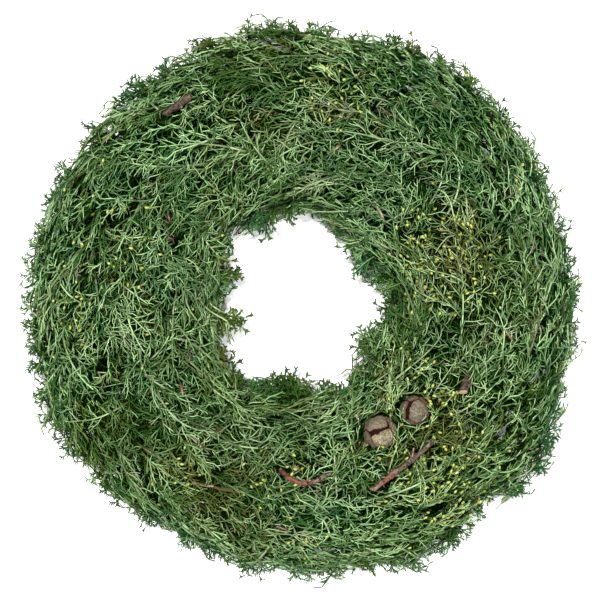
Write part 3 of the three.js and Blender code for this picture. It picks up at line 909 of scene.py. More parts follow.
def growSpray(bunch, lane):
    name, laterals = foliage["lanes"][lane]
    rng = random.Random(1000 * bunch + lane + 7)
    bag = newBag()
    length = draw(1.44, 1.58, bunch, lane)
    sprayTone = clamp(rng.gauss(0.4, 0.13), 0.1, 0.8)
    tones = [clamp(sprayTone + rng.gauss(0, 0.16), 0.04, 0.95) for _ in range(20)]
    for index in range(laterals + 1):
        leader = index == laterals
        start = 1.2 if leader else mix(0.34, 1.1, (index + draw(0.2, 0.6, bunch, index)) / laterals)
        side = draw(-1, 1, bunch, 9) if leader else (1 if (index + bunch) % 2 else -1)
        course = lateralCourse(bunch, lane, index, start, side, length, leader)
        growFrond(bag, rng, course, newLook(rng, tones[index]), 0.3)
    growLooseFronds(bag, rng, bunch, lane, frondStyle["extraFronds"][name], tones)
    growLooseFronds(bag, rng, bunch, lane, frondStyle["wiryFronds"][name], tones, wiry=True)
    if name in ("rim", "hole"):
        growTufts(bag, rng, bunch, lane, tones)
        growTips = growRimTips if name == "rim" else growHoleTips
        growTips(bag, rng, bunch, lane, tones)
        growEdgeTips(bag, rng, bunch, lane, tones)
    growStems(bag, rng, bunch, lane, sprayTone)
    growStemBits(bag, rng, bunch, lane, sprayTone)
    growInnerShoots(bag, rng, bunch, lane, frondStyle["innerShoots"][name], sprayTone)
    return bag


# The cones' and twigs' places, in millimetres: the foliage gives way to them. The first so many
# stretches of a twig lie bare, but for one in so many shoots that cross them.

cones = [
    {"name": "cone_large", "at": (58, -97, 82), "radius": 12.4, "stalk": (0.45, 0.5, -0.74)},
    {"name": "cone_small", "at": (84, -81, 80.5), "radius": 11, "stalk": (-0.3, 0.6, -0.74)},
]
twigs = [
    {"name": "twig_straight", "radii": (2.1, 1.7), "bare": 3, "crossing": 2,
     "course": [(52, -139, 91.5), (66, -128, 93.3), (82, -116, 92.5), (98, -103, 86)]},
    {"name": "twig_curved", "radii": (1.7, 1.5), "bare": 4, "crossing": 5,
     "course": [(-16, -125, 84), (-9.5, -130, 91), (-1, -133.6, 93.6), (9, -132.6, 93.4), (22, -126.5, 85)]},
    {"name": "branch_stub", "radii": (3.1, 3.3), "bare": 1, "crossing": 5,
     "course": [(119, -66.5, 93), (121.5, -61.5, 88), (124, -55, 79)]},
    {"name": "twig_bark", "radii": (2.2, 2.7), "bare": 2, "crossing": 2,
     "course": [(-102, 140, 77), (-92, 146.5, 84), (-83, 152.5, 83.5)]},
]
clearance = {
    "cone": 0.6,                # mm from the cones, and more from their lower parts
    "underCone": 3.2,
    "coneTop": 0.7,             # the share of a cone's radius that nothing covers
    "twig": 0.45,               # mm from the twigs, and beside them where it passes over them
    "twigTop": 0.2,
    "hole": 36,                 # mm from the wreath's middle
}

# Shoots that cross the cones' edges: degrees round the cone, heading away from there, and length in mm.
coneShoots = {
    "cone_large": [(-62, 95, 20), (-40, 120, 17), (-78, 70, 22), (-20, 130, 16), (-100, 60, 15),
                   (25, -160, 12), (160, -50, 12), (200, 20, 12), (100, -60, 10), (60, -120, 11),
                   (-50, 80, 15)],
    "cone_small": [(-120, 80, 13), (-95, 110, 14), (-70, 100, 13), (-140, 60, 14), (-45, 140, 12),
                   (-10, 150, 11), (175, -20, 12), (150, -70, 11), (110, -60, 11), (60, -100, 12),
                   (-105, 70, 12)],
}


def growConeShoots():
    rng = random.Random(31)
    for cone in cones:
        for around, aim, length in coneShoots[cone["name"]]:
            way, aim = math.radians(around), math.radians(around + 180 - (aim - 90))
            out = cone["radius"] + rng.uniform(3, 6)
            x, y = cone["at"][0] + out * math.cos(way), cone["at"][1] + out * math.sin(way)
            spot = spotOver(x, y, 0.97)
            ahead = (math.cos(aim), math.sin(aim))
            heading = math.atan2(-ahead[0] * math.cos(spot[0]) - ahead[1] * math.sin(spot[0]),
                                 ahead[1] * math.cos(spot[0]) - ahead[0] * math.sin(spot[0]))
            lane = laneAt(spot[0], spot[1])
            look = newLook(rng, rng.uniform(0.15, 0.5)) | {
                "branchlet": rng.uniform(6, 9), "gap": 2.6, "light": rng.uniform(0.8, 1), "upright": 0.3}
            growShoot(sprays[bunchAt(spot[0], lane), lane], rng, spot, heading, 1, length,
                      math.radians(rng.uniform(14, 24)), look)


# True for copies that keep clear of the cones and twigs and don't cover them from above.
def clearOfPieces(paths):
    kept = np.ones(len(paths), dtype=bool)
    between = [(paths[:, :1] + paths[:, 1:2]) / 2, (paths[:, 1:2] + paths[:, 2:]) / 2]
    samples = np.concatenate([paths, *between], axis=1)
    for cone in cones:
        away = samples - np.array(cone["at"])
        margin = np.where(away[:, :, 2] < 3, clearance["underCone"], clearance["cone"])
        inside = np.linalg.norm(away, axis=2) < cone["radius"] + margin
        beside = np.hypot(away[:, :, 0], away[:, :, 1])
        above = (beside < clearance["coneTop"] * cone["radius"]) & (away[:, :, 2] > 0)
        kept &= ~(inside | above).any(axis=1)
    for twig in twigs:
        crossing = np.arange(len(paths))[:, None] % twig["crossing"] == 0
        course = [np.array(point, dtype=float) for point in twig["course"]]
        radius = max(twig["radii"])
        for part, (a, b) in enumerate(zip(course, course[1:])):
            along = b - a
            t = np.clip(((samples - a) @ along) / (along @ along), 0, 1)
            away = samples - (a + t[:, :, None] * along)
            inside = np.linalg.norm(away, axis=2) < radius + clearance["twig"]
            beside = np.hypot(away[:, :, 0], away[:, :, 1])
            above = (beside < radius + clearance["twigTop"]) & (away[:, :, 2] > 0)
            inside |= above & (part < twig["bare"]) & ~crossing
            kept &= ~inside.any(axis=1)
    return kept


def newGroup(name, inputs, outputs):
    group = bpy.data.node_groups.new(name, "ShaderNodeTree")
    for label, value in inputs.items():
        socket = group.interface.new_socket(name=label, in_out="INPUT", socket_type="NodeSocketFloat")
        socket.default_value = value
    for label in outputs:
        group.interface.new_socket(name=label, in_out="OUTPUT", socket_type="NodeSocketFloat")
    start = group.nodes.new("NodeGroupInput")
    end = group.nodes.new("NodeGroupOutput")
    return group, start, end


def link(tree, source, target):
    tree.links.new(source, target)


# Gives a socket a value, or another node's output. A colour of three parts is opaque.
def feed(tree, socket, value):
    if isinstance(value, bpy.types.NodeSocket):
        link(tree, value, socket)
    else:
        socket.default_value = (*value, 1) if isinstance(value, tuple) else value


def addNode(tree, kind, values=None, **settings):
    node = tree.nodes.new(kind)
    for key, value in settings.items():
        setattr(node, key, value)
    for key, value in (values or {}).items():
        feed(tree, node.inputs[key], value)
    return node


def readAttribute(tree, name):
    return addNode(tree, "ShaderNodeAttribute", attribute_name=name)


def mixColors(tree, factor, a, b, blend="MIX"):
    node = addNode(tree, "ShaderNodeMix", {0: factor, 6: a, 7: b}, data_type="RGBA", blend_type=blend)
    return node.outputs[2]


def doMath(tree, operation, a, b=0.0, c=0.0):
    return addNode(tree, "ShaderNodeMath", {0: a, 1: b, 2: c}, operation=operation).outputs[0]


# A colour with another over it, by a share of a mask.
def stain(tree, color, other, mask, share):
    return mixColors(tree, doMath(tree, "MULTIPLY", mask, share), color, other)


def remap(tree, value, low, high, toLow=0.0, toHigh=1.0):
    ends = {"Value": value, "From Min": low, "From Max": high, "To Min": toLow, "To Max": toHigh}
    return addNode(tree, "ShaderNodeMapRange", ends, clamp=True).outputs[0]


def colorRamp(tree, value, stops):
    node = addNode(tree, "ShaderNodeValToRGB", {0: value})
    ramp = node.color_ramp
    while len(ramp.elements) < len(stops):
        ramp.elements.new(0.5)
    for element, (at, color) in zip(ramp.elements, stops):
        element.position = at
        element.color = (*color, 1)
    return node.outputs[0]


# Patches of one value over another, in metres of the object.
def makePatches():
    group, start, end = newGroup("patches", {"Scale": 60.0, "Detail": 3.0, "Low": 0.4, "High": 0.6},
                                 ["Mask", "Height"])
    place = addNode(group, "ShaderNodeTexCoord")
    noise = addNode(group, "ShaderNodeTexNoise", {
        "Vector": place.outputs["Object"], "Scale": start.outputs["Scale"],
        "Detail": start.outputs["Detail"], "Roughness": 0.6})
    mask = remap(group, noise.outputs[0], start.outputs["Low"], start.outputs["High"])
    link(group, mask, end.inputs["Mask"])
    link(group, noise.outputs[0], end.inputs["Height"])
    return group


# Rows of overlapping scales along a branchlet: each rises to its edge and drops to the next.
def makeScaleRows():
    group, start, end = newGroup("scaleRows", {"Along": 0.0, "Row": 1.8}, ["Edge", "Height"])
    saw = doMath(group, "FRACT", doMath(group, "DIVIDE", start.outputs["Along"], start.outputs["Row"]))
    link(group, remap(group, saw, 0.72, 0.98), end.inputs["Edge"])
    link(group, saw, end.inputs["Height"])
    return group


# Fine lengthwise fibres from a grain attribute: across, across and along in millimetres.
def makeFibres():
    group, start, end = newGroup("fibres", {"Scale": 0.8, "Stretch": 0.12}, ["Mask", "Height"])
    grain = readAttribute(group, "grain")
    stretch = addNode(group, "ShaderNodeCombineXYZ", {"X": 1.0, "Y": 1.0, "Z": start.outputs["Stretch"]})
    pulled = addNode(group, "ShaderNodeVectorMath", {0: grain.outputs["Vector"], 1: stretch.outputs[0]},
                     operation="MULTIPLY")
    noise = addNode(group, "ShaderNodeTexNoise", {
        "Vector": pulled.outputs[0], "Scale": start.outputs["Scale"], "Detail": 5.0, "Roughness": 0.65})
    link(group, remap(group, noise.outputs[0], 0.36, 0.66), end.inputs["Mask"])
    link(group, noise.outputs[0], end.inputs["Height"])
    return group


patches, scaleRows, fibres = makePatches(), makeScaleRows(), makeFibres()


def placeGroup(tree, group, **values):
    node = addNode(tree, "ShaderNodeGroup", node_tree=group)
    for key, value in values.items():
        feed(tree, node.inputs[key], value)
    return node


def newMaterial(name, **values):
    material = bpy.data.materials.new(name)
    material.use_nodes = True
    tree = material.node_tree
    shader = tree.nodes["Principled BSDF"]
    for key, value in values.items():
        shader.inputs[key].default_value = value
    return material, tree, shader


def addBump(tree, shader, height, distance, strength):
    values = {"Height": height, "Distance": distance * mm, "Strength": strength}
    bump = addNode(tree, "ShaderNodeBump", values)
    link(tree, bump.outputs[0], shader.inputs["Normal"])


# The foliage's colours

leafColors = {
    "top": 0.9,                 # the share of the shoots in a cell that lie under its top
    "fade": 6.5,                # mm below that top where the painted shade is darkest, and how steeply it gets so
    "fadePower": 2.5,
    "tones": [(0.0, (0.018, 0.15, 0.055)), (0.3, (0.03, 0.145, 0.024)), (0.55, (0.062, 0.14, 0.013)),
              (0.8, (0.115, 0.135, 0.014)), (1.0, (0.16, 0.12, 0.03))],
    "tipTone": (-0.04, 0.06),   # tips are a little more yellow than roots
    # the pale grey-green that lit tops are painted towards: painted highlight, and pale patches
    "pale": (0.34, 0.53, 0.22),
    # the dark green deep inside the foliage: painted shade
    "inner": (0.003, 0.015, 0.0004),
    # how painted shade tints a colour as it darkens it: greener, less blue
    "shadeTint": (0.78, 1.0, 0.2),
    "wood": [(0.0, (0.3, 0.37, 0.2)), (0.3, (0.26, 0.28, 0.16)), (0.6, (0.15, 0.1, 0.05)),
             (1.0, (0.06, 0.02, 0.013))],
    "pollen": [(0.0, (0.22, 0.28, 0.035)), (1.0, (0.42, 0.47, 0.1))],
    "pollenBase": (0.17, 0.11, 0.03),
}


def makeLeafMaterial():
    material, tree, shader = newMaterial("cypressFoliage", Roughness=0.52)
    tint = readAttribute(tree, "tint")
    # tint: tone, painted light (how lit a copy is painted, low values are painted shade), wood; pollen in its
    # alpha
    tone, depth, wood = addNode(tree, "ShaderNodeSeparateColor", {0: tint.outputs["Color"]}).outputs
    along = readAttribute(tree, "along").outputs["Fac"]
    scales = placeGroup(tree, scaleRows, Along=along, Row=1.7)
    patch = placeGroup(tree, patches, Scale=28.0, Detail=2.0, Low=0.35, High=0.65)
    fine = placeGroup(tree, patches, Scale=900.0, Detail=2.0, Low=0.35, High=0.7)
    shifted = doMath(tree, "MULTIPLY_ADD", patch.outputs["Mask"], 0.24, doMath(tree, "SUBTRACT", tone, 0.12))
    green = colorRamp(tree, shifted, leafColors["tones"])
    # painted highlight: the more lit a copy is painted, the paler it gets, with pale patches besides
    paleAndPaintedHighlight = doMath(tree, "MULTIPLY_ADD", fine.outputs["Mask"], 0.2, remap(tree, depth, 0.4, 0.9, 0.0, 0.75))
    green = mixColors(tree, paleAndPaintedHighlight, green, leafColors["pale"])
    seam = mixColors(tree, 0.5, green, leafColors["inner"])
    green = stain(tree, green, seam, scales.outputs["Edge"], 0.4)
    color = mixColors(tree, remap(tree, wood, 0.05, 0.35), green, colorRamp(tree, wood, leafColors["wood"]))
    yellow = colorRamp(tree, fine.outputs["Mask"], leafColors["pollen"])
    yellow = mixColors(tree, remap(tree, along, 0.1, 1.3), leafColors["pollenBase"], yellow)
    color = mixColors(tree, tint.outputs["Alpha"], color, yellow)
    # painted shade: copies painted as little lit, in clouds, go dark green like the foliage's inside
    cloud = remap(tree, patch.outputs["Height"], 0.36, 0.64, 0.8, 1.06)
    shade = remap(tree, doMath(tree, "MULTIPLY", depth, cloud), 0.0, 0.9)
    shadeTint = mixColors(tree, 1.0, color, leafColors["shadeTint"], "MULTIPLY")
    color = mixColors(tree, shade, mixColors(tree, 0.05, leafColors["inner"], shadeTint), color)
    link(tree, color, shader.inputs["Base Color"])
    link(tree, remap(tree, fine.outputs["Mask"], 0, 1, 0.36, 0.5), shader.inputs["Roughness"])
    link(tree, remap(tree, depth, 0.4, 0.95, 0.02, 0.75), shader.inputs["Specular IOR Level"])
    addBump(tree, shader, scales.outputs["Height"], 0.16, 0.8)
    return material


leafMaterial = makeLeafMaterial()

sprays = {(bunch, lane): growSpray(bunch, lane)
          for bunch in range(foliage["bunches"]) for lane in range(len(foliage["lanes"]))}


# Grows more shoots where the foliage is thin.
def fillThinCells():
    rng = random.Random(77)
    for sweep in range(surface["sweeps"]):
        missing = [np.clip(wanted - spread(layer), 0, None)
                   for layer, wanted in zip(cover, surface["wanted"])]
        lack = sum(missing) * cellArea * aboveFloor
        count = int(lack.sum() / surface["lackForShoot"])
        chances = np.cumsum(lack.ravel()) / lack.sum()
        print("sweep", sweep, "cover", *(round(float(np.median(layer[aboveFloor])), 2) for layer in cover),
              "more shoots:", count)
        for _ in range(count):
            cell = int(np.searchsorted(chances, rng.random()))
            column, row = divmod(cell, surface["rows"])
            angle = columnAngles[column] + rng.uniform(-0.5, 0.5) * turn / surface["columns"]
            section = rowSections[row] + rng.uniform(-0.5, 0.5) * rowStep
            lane = laneAt(angle, section)
            lean = frondStyle["lean"][foliage["lanes"][lane][0]]
            heading = math.radians(lean + rng.gauss(0, 40))
            length = rng.uniform(*surface["shootLength"])
            start = (angle, section, envelope(angle, section) - rng.uniform(*surface["shootDepth"]))
            start = stepFrom(start, heading, 0, -0.5 * length)
            look = newLook(rng, clamp(rng.gauss(0.4, 0.13), 0.05, 0.95))
            growShoot(sprays[bunchAt(angle, lane), lane], rng, start, heading, rng.choice((-1, 1)), length,
                      math.radians(rng.uniform(8, 34)), look)


fillThinCells()
growConeShoots()


# How far out the foliage comes in each cell, but for its last few shoots.
def foliageTop():
    spots = np.array([spot[2] for bag in sprays.values() for kind in ("branchlet", "inner")
                      for spot in bag[kind]["spots"]])
    column, row = cellOf(spots)
    order = np.lexsort((spots[:, 2], row, column))
    cell = (column * surface["rows"] + row)[order]
    top = np.full(outline.size, np.nan)
    for run in np.split(order, np.flatnonzero(np.diff(cell)) + 1):
        highest = run[int(leafColors["top"] * (len(run) - 1))]
        top[column[run[0]] * surface["rows"] + row[run[0]]] = spots[highest, 2]
    top = top.reshape(outline.shape)
    top = np.where(np.isnan(top), outline, top)
    return spread(top)


topReach = foliageTop()


# 1 on top of the foliage, 0 well inside it. It scales the copies' painted light: painted shade inside the
# foliage, and partly its older, darker inner shoots.
def openness(spots):
    under = (topReach[cellOf(spots)] - spots[..., 2]) / leafColors["fade"]
    return np.clip(1 - under, 0, 1) ** leafColors["fadePower"]


# Foliage that bears pollen is more olive.
def oliveShare(points):
    share = np.zeros(len(points))
    for (x, y), radius, most in pollen["patches"]:
        away = np.hypot(points[:, 0] - x, points[:, 1] - y) / radius
        share = np.maximum(share, np.clip(1.5 - away, 0, 1) * most)
    return 0.5 * share * np.clip((points[:, 2] - 15) / 60, 0, 1)


# Areas of the wreath that differ: middle and radius in mm, how light they are (painted light and shade), and
# their tone.
leafAreas = [
    ((-58, -142), 34, 0.7, 0.3), ((-141, -97), 32, 0.68, 0.12), ((-58, 171), 20, 0.55, 0.1),
    ((-17, 183), 24, 0.8, 0.25), ((63, 66), 26, 1.4, -0.25), ((112, 130), 40, 0.85, -0.22),
    ((74, -6), 20, 0.7, 0.0), ((21, -165), 30, 1.25, -0.1), ((100, -106), 32, 0.75, 0.16),
    ((-183, 32), 36, 1.0, -0.12), ((-168, 115), 24, 0.7, 0.05), ((-96, 115), 34, 1.15, -0.12),
    ((-52, -46), 18, 0.6, 0.2), ((-9, -66), 22, 0.6, 0.2), ((160, 90), 26, 1.2, -0.15),
    ((-120, -20), 34, 1.1, -0.05), ((-20, 120), 30, 1.1, 0.06), ((150, -40), 30, 1.15, 0.05),
    ((124, 32), 26, 0.85, 0.26),
]


def areasAt(points):
    light, tone = np.ones(len(points)), np.zeros(len(points))
    for (x, y), radius, paintedLight, shift in leafAreas:
        near = np.exp(-((points[:, 0] - x) ** 2 + (points[:, 1] - y) ** 2) / radius ** 2)
        # painted light and shade by area
        light *= 1 + 0.8 * (paintedLight - 1) * near
        tone += shift * near
    return light[:, None], tone[:, None]


totalCopies = 0
for (bunch, lane), bag in sprays.items():
    groups = []
    for kind, copies in bag.items():
        paths = np.array(copies["paths"], dtype=float).reshape(-1, 4, 3)
        kept = clearOfPieces(paths)
        kept &= np.hypot(paths[:, :, 0], paths[:, :, 1]).min(axis=1) > clearance["hole"]
        spots = np.array(copies["spots"], dtype=float).reshape(-1, 4, 3)[kept]
        tints = np.repeat(np.array(copies["tints"], dtype=float).reshape(-1, 1, 4)[kept], 2, axis=1)
        light, tone = areasAt(paths[kept, 1])
        tints[:, :, 0] += leafColors["tipTone"]
        tints[:, :, 0] += oliveShare(paths[kept, 1])[:, None]
        tints[:, :, 0] += tone
        # painted shade: less light painted on copies deep in the foliage and in the darker areas
        tints[:, :, 1] *= openness(spots[:, ::3]) * light
        groups.append({
            "shaft": shafts[kind],
            "paths": paths[kept] * mm,
            "radii": np.array(copies["radii"], dtype=float).reshape(-1, 2)[kept] * mm,
            "ups": np.array(copies["ups"], dtype=float).reshape(-1, 3)[kept],
            "tints": tints,
        })
        totalCopies += len(spots)
    number = f"{bunch + 1:02d}"
    laneName = foliage["lanes"][lane][0]
    spray = meshFromCopies(f"fronds_{laneName}_{number}", groups)
    spray.data.materials.append(leafMaterial)
    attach(spray, "root")
    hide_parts(f"spray_{laneName}_{number}")
print("foliage grown:", totalCopies, "copies")


# A mesh's points as rows. setPoints puts them back.
def pointsOf(piece):
    return np.array([v.co[:] for v in piece.data.vertices])


def setPoints(piece, points):
    piece.data.vertices.foreach_set("co", np.asarray(points, dtype=np.float32).ravel())
    piece.data.update()


def setValues(piece, name, values):
    kind = "FLOAT" if np.ndim(values) == 1 else "FLOAT_VECTOR"
    attribute = piece.data.attributes.new(name, kind, "POINT")
    key = "value" if kind == "FLOAT" else "vector"
    attribute.data.foreach_set(key, np.asarray(values, dtype=np.float32).ravel())


# Lumps of one size, both in metres.
def roughen(piece, scale, strength):
    texture = bpy.data.textures.new("clouds", "CLOUDS")
    texture.noise_scale = scale
    applyModifier(piece, "DISPLACE", texture=texture, strength=strength, mid_level=0.5,
                  texture_coords="LOCAL")


def joinAll(parts, name):
    deselectAll()
    for part in parts:
        part.select_set(True)
    bpy.context.view_layer.objects.active = parts[0]
    bpy.ops.object.join()
    piece = bpy.context.object
    piece.name = name
    piece.data.name = name
    deselectAll()
    return piece


def finishPiece(piece, node, material):
    piece.data.materials.clear()
    piece.data.materials.append(material)
    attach(piece, "root")
    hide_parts(node)
    print(piece.name, "done:", len(piece.data.polygons), "faces")


# Places along a course of points, smoothed, with so many steps from each point to the next.
def smoothCourse(points, steps):
    points = [Vector(point) for point in points]
    ends = [2 * points[0] - points[1]] + points + [2 * points[-1] - points[-2]]
    spots = []
    for a, b, c, d in zip(ends, ends[1:], ends[2:], ends[3:]):
        for i in range(steps):
            t = i / steps
            spots.append(0.5 * (2 * b + (c - a) * t + (2 * a - 5 * b + 4 * c - d) * t * t
                                + (3 * b - a - 3 * c + d) * t ** 3))
    return spots + [points[-1]]


# Bends a straight piece along Z onto a smoothed course of the same length. All in metres.
def bendAlong(piece, course):
    spots = [spot * mm for spot in smoothCourse(course, 16)]
    steps = [(b - a).length for a, b in zip(spots, spots[1:])]
    distances = np.concatenate([[0], np.cumsum(steps)])
    frames = []
    aside = (spots[1] - spots[0]).cross(Vector((0, 0, 1))).normalized()
    for i in range(len(spots)):
        ahead = (spots[min(i + 1, len(steps))] - spots[max(i - 1, 0)]).normalized()
        aside = (aside - ahead * aside.dot(ahead)).normalized()
        frames.append((ahead, aside, ahead.cross(aside)))
    bent = []
    for x, y, z in pointsOf(piece):
        i = int(np.clip(np.searchsorted(distances, z) - 1, 0, len(steps) - 1))
        t = (z - distances[i]) / steps[i]
        inside = clamp(t)
        ahead, aside, over = (a.lerp(b, inside).normalized() for a, b in zip(frames[i], frames[i + 1]))
        middle = spots[i].lerp(spots[i + 1], inside) + ahead * (t - inside) * steps[i]
        bent.append(middle + aside * x + over * y)
    setPoints(piece, bent)


# The cones: a few woody shield plates over a dark red core, open in one seam

coneStyle = {
    # a plate from its wall to its point: how wide, and how high, in radii
    "rings": [(1.0, -0.2), (1.0, -0.09), (0.97, -0.035), (0.9, -0.005), (0.76, 0.01), (0.6, 0.02),
              (0.44, 0.012), (0.28, 0.02), (0.17, 0.03), (0.1, 0.06)],
    "sides": 40,
    "ball": 0.985,              # the plates' ball and the core, in radii
    "core": 0.78,
    "seam": 0.02,               # radians from a plate's edge to the next plate's border
    "ragged": ((7, 0.035), (17, 0.025)),     # waves round a plate's edge, radians
    "widest": 1.3,              # radians
    "coarse": (0.0045, 0.0016),
    "fine": (0.0012, 0.0005),
    "stalk": [(0, 1.35, 1.3), (0.2, 1, 1.05), (0.5, 0.95, 0.9), (0.75, 1.05, 1), (0.92, 1.2, 1.25),
              (1, 0.9, 0.9)],
    "stalkRadius": 1.5,
    "stalkLength": 9,
    "stalkFrom": 0.6,           # it starts inside the cone
    "smooth": 50,               # degrees
}
# Plates: tilt from straight up and degrees round. The opening lies between the first two.
conePlates = {
    "cone_large": {
        "plates": [(48, 112), (22, -72), (94, 26), (106, 150), (86, -152), (104, -60), (165, 30)],
        "tans": [0.3, 1, 0.25, 0.3, 0.2, 0.5, 0.2],
        "opening": 0.19,
    },
    "cone_small": {
        "plates": [(17, -12), (94, 170), (114, 108), (118, 40), (120, -30), (112, -100), (165, 30)],
        "tans": [0.3, 0.15, 0.15, 0.2, 0.3, 0.3, 0.2],
        "opening": 0.17,
    },
}


def modelPlate():
    rings = coneStyle["rings"]
    deselectAll()
    bpy.ops.mesh.primitive_circle_add(vertices=coneStyle["sides"], radius=1, fill_type="NGON")
    plate = bpy.context.object
    bpy.ops.object.mode_set(mode="EDIT")
    bpy.ops.mesh.select_all(action="SELECT")
    bpy.ops.transform.translate(value=(0, 0, rings[0][1]))
    for (wide, low), (narrow, high) in zip(rings, rings[1:]):
        bpy.ops.mesh.extrude_region_move(TRANSFORM_OT_translate={"value": (0, 0, high - low)})
        share = narrow / wide
        bpy.ops.transform.resize(value=(share, share, 1), center_override=(0, 0, high))
    bpy.ops.mesh.poke()
    bpy.ops.mesh.select_all(action="SELECT")
    bpy.ops.mesh.normals_make_consistent(inside=False)
    bpy.ops.object.mode_set(mode="OBJECT")
    applyModifier(plate, "SUBSURF", levels=1, render_levels=1)
    return plate


def directionOf(tilt, around):
    tilt, around = math.radians(tilt), math.radians(around)
    return Vector((math.sin(tilt) * math.cos(around), math.sin(tilt) * math.sin(around), math.cos(tilt)))


# One plate over its own part of the ball: as far as the borders halfway to the other plates.
def bendPlate(plate, middles, index, radius, opening, tan):
    middle = middles[index]
    aside = middle.orthogonal().normalized()
    over = middle.cross(aside)
    borders = []
    for j, other in enumerate(middles):
        if j == index:
            continue
        apart = middle.angle(other)
        toward = math.atan2(other.dot(over), other.dot(aside))
        gap = coneStyle["seam"] + (opening if {index, j} == {0, 1} else 0)
        borders.append((math.tan(apart / 2), toward, gap))
    copy = plate.copy()
    copy.data = plate.data.copy()
    bpy.context.scene.collection.objects.link(copy)
    placed, edges = [], []
    for x, y, z in pointsOf(plate):
        out, way = math.hypot(x, y), math.atan2(y, x)
        heading = aside * math.cos(way) + over * math.sin(way)
        (often, high), (fast, low) = coneStyle["ragged"]
        ragged = high * math.sin(often * way + index) + low * math.sin(fast * way + 2 * index)
        limits = []
        for slope, toward, gap in borders:
            facing = math.cos(way - toward)
            if facing > 0.05:
                # the opening is widest on the left
                share = clamp(0.45 - 0.7 * heading.x, 0.08, 1) if gap > 0.05 else 0.25
                border = math.atan(slope / facing) - coneStyle["seam"]
                limits.append(border - (gap - coneStyle["seam"]) * share + ragged * share)
        # a soft minimum rounds the plate's corners
        limit = sum(edge ** -14 for edge in limits if edge > 0) ** (-1 / 14)
        tilt = out * min(limit, coneStyle["widest"])
        ray = middle * math.cos(tilt) + heading * math.sin(tilt)
        placed.append(ray * radius * (1 + z) * mm)
        edges.append(clamp((out - 0.8) / 0.2))
    setPoints(copy, placed)
    setValues(copy, "edge", edges)
    setValues(copy, "plate", [tan] * len(placed))
    return copy


def modelCone(cone):
    style = conePlates[cone["name"]]
    plate = modelPlate()
    middles = [directionOf(*spot) for spot in style["plates"]]
    parts = [bendPlate(plate, middles, i, cone["radius"] * coneStyle["ball"], style["opening"], tan)
             for i, tan in enumerate(style["tans"])]
    bpy.data.objects.remove(plate)
    bpy.ops.mesh.primitive_ico_sphere_add(subdivisions=4, radius=cone["radius"] * coneStyle["core"] * mm)
    core = bpy.context.object
    setValues(core, "edge", [1.0] * len(core.data.vertices))
    setValues(core, "plate", [0.0] * len(core.data.vertices))
    stalk = modelShaft("stalk", 12, coneStyle["stalk"])
    points = pointsOf(stalk)
    rod = points * (coneStyle["stalkRadius"], coneStyle["stalkRadius"], 1)
    rod[:, 2] = mix(coneStyle["stalkFrom"], 1, points[:, 2]) * (cone["radius"] + coneStyle["stalkLength"])
    turned = Vector((0, 0, 1)).rotation_difference(Vector(cone["stalk"]))
    setPoints(stalk, [(turned @ Vector(point)) * mm for point in rod])
    setValues(stalk, "edge", [0.3] * len(points))
    setValues(stalk, "plate", [0.15] * len(points))
    piece = joinAll(parts + [core, stalk], "woody_" + cone["name"])
    roughen(piece, *coneStyle["coarse"])
    roughen(piece, *coneStyle["fine"])
    setPoints(piece, pointsOf(piece) + np.array(cone["at"]) * mm)
    selectOnly(piece)
    bpy.ops.object.shade_smooth_by_angle(angle=math.radians(coneStyle["smooth"]))
    return piece


def makeConeMaterial():
    material, tree, shader = newMaterial("weatheredCone", **{"Roughness": 0.85, "Specular IOR Level": 0.12})
    colors = {"gray": (0.125, 0.105, 0.073), "tan": (0.36, 0.3, 0.19), "dark": (0.03, 0.019, 0.013),
              "red": (0.014, 0.0025, 0.0015), "rim": (0.08, 0.026, 0.014), "lichen": (0.4, 0.38, 0.28)}
    edge = readAttribute(tree, "edge").outputs["Fac"]
    plate = readAttribute(tree, "plate").outputs["Fac"]
    broad = placeGroup(tree, patches, Scale=160.0, Detail=4.0, Low=0.4, High=0.62)
    fine = placeGroup(tree, patches, Scale=900.0, Detail=5.0, Low=0.42, High=0.62)
    specks = placeGroup(tree, patches, Scale=1500.0, Detail=2.0, Low=0.62, High=0.7)
    place = addNode(tree, "ShaderNodeTexCoord")
    cracks = addNode(tree, "ShaderNodeTexVoronoi", {"Scale": 420.0}, feature="DISTANCE_TO_EDGE")
    link(tree, place.outputs["Object"], cracks.inputs["Vector"])
    crack = remap(tree, cracks.outputs["Distance"], 0.0, 0.12, 1.0, 0.0)
    color = mixColors(tree, plate, colors["gray"], colors["tan"])
    color = stain(tree, color, colors["gray"], broad.outputs["Mask"], 0.7)
    color = stain(tree, color, colors["dark"], fine.outputs["Mask"], 0.7)
    color = stain(tree, color, colors["lichen"], specks.outputs["Mask"], 0.5)
    color = stain(tree, color, colors["dark"], crack, 0.3)
    color = stain(tree, color, colors["rim"], remap(tree, edge, 0.35, 0.7), 0.75)
    color = mixColors(tree, remap(tree, edge, 0.86, 0.98), color, colors["red"])
    link(tree, color, shader.inputs["Base Color"])
    height = doMath(tree, "MULTIPLY_ADD", crack, -0.5, fine.outputs["Height"])
    addBump(tree, shader, height, 0.45, 0.9)
    return material


coneMaterial = makeConeMaterial()
for cone in cones:
    finishPiece(modelCone(cone), cone["name"], coneMaterial)


# The bare twigs: bark with fibres and knots, pale wood where they are cut

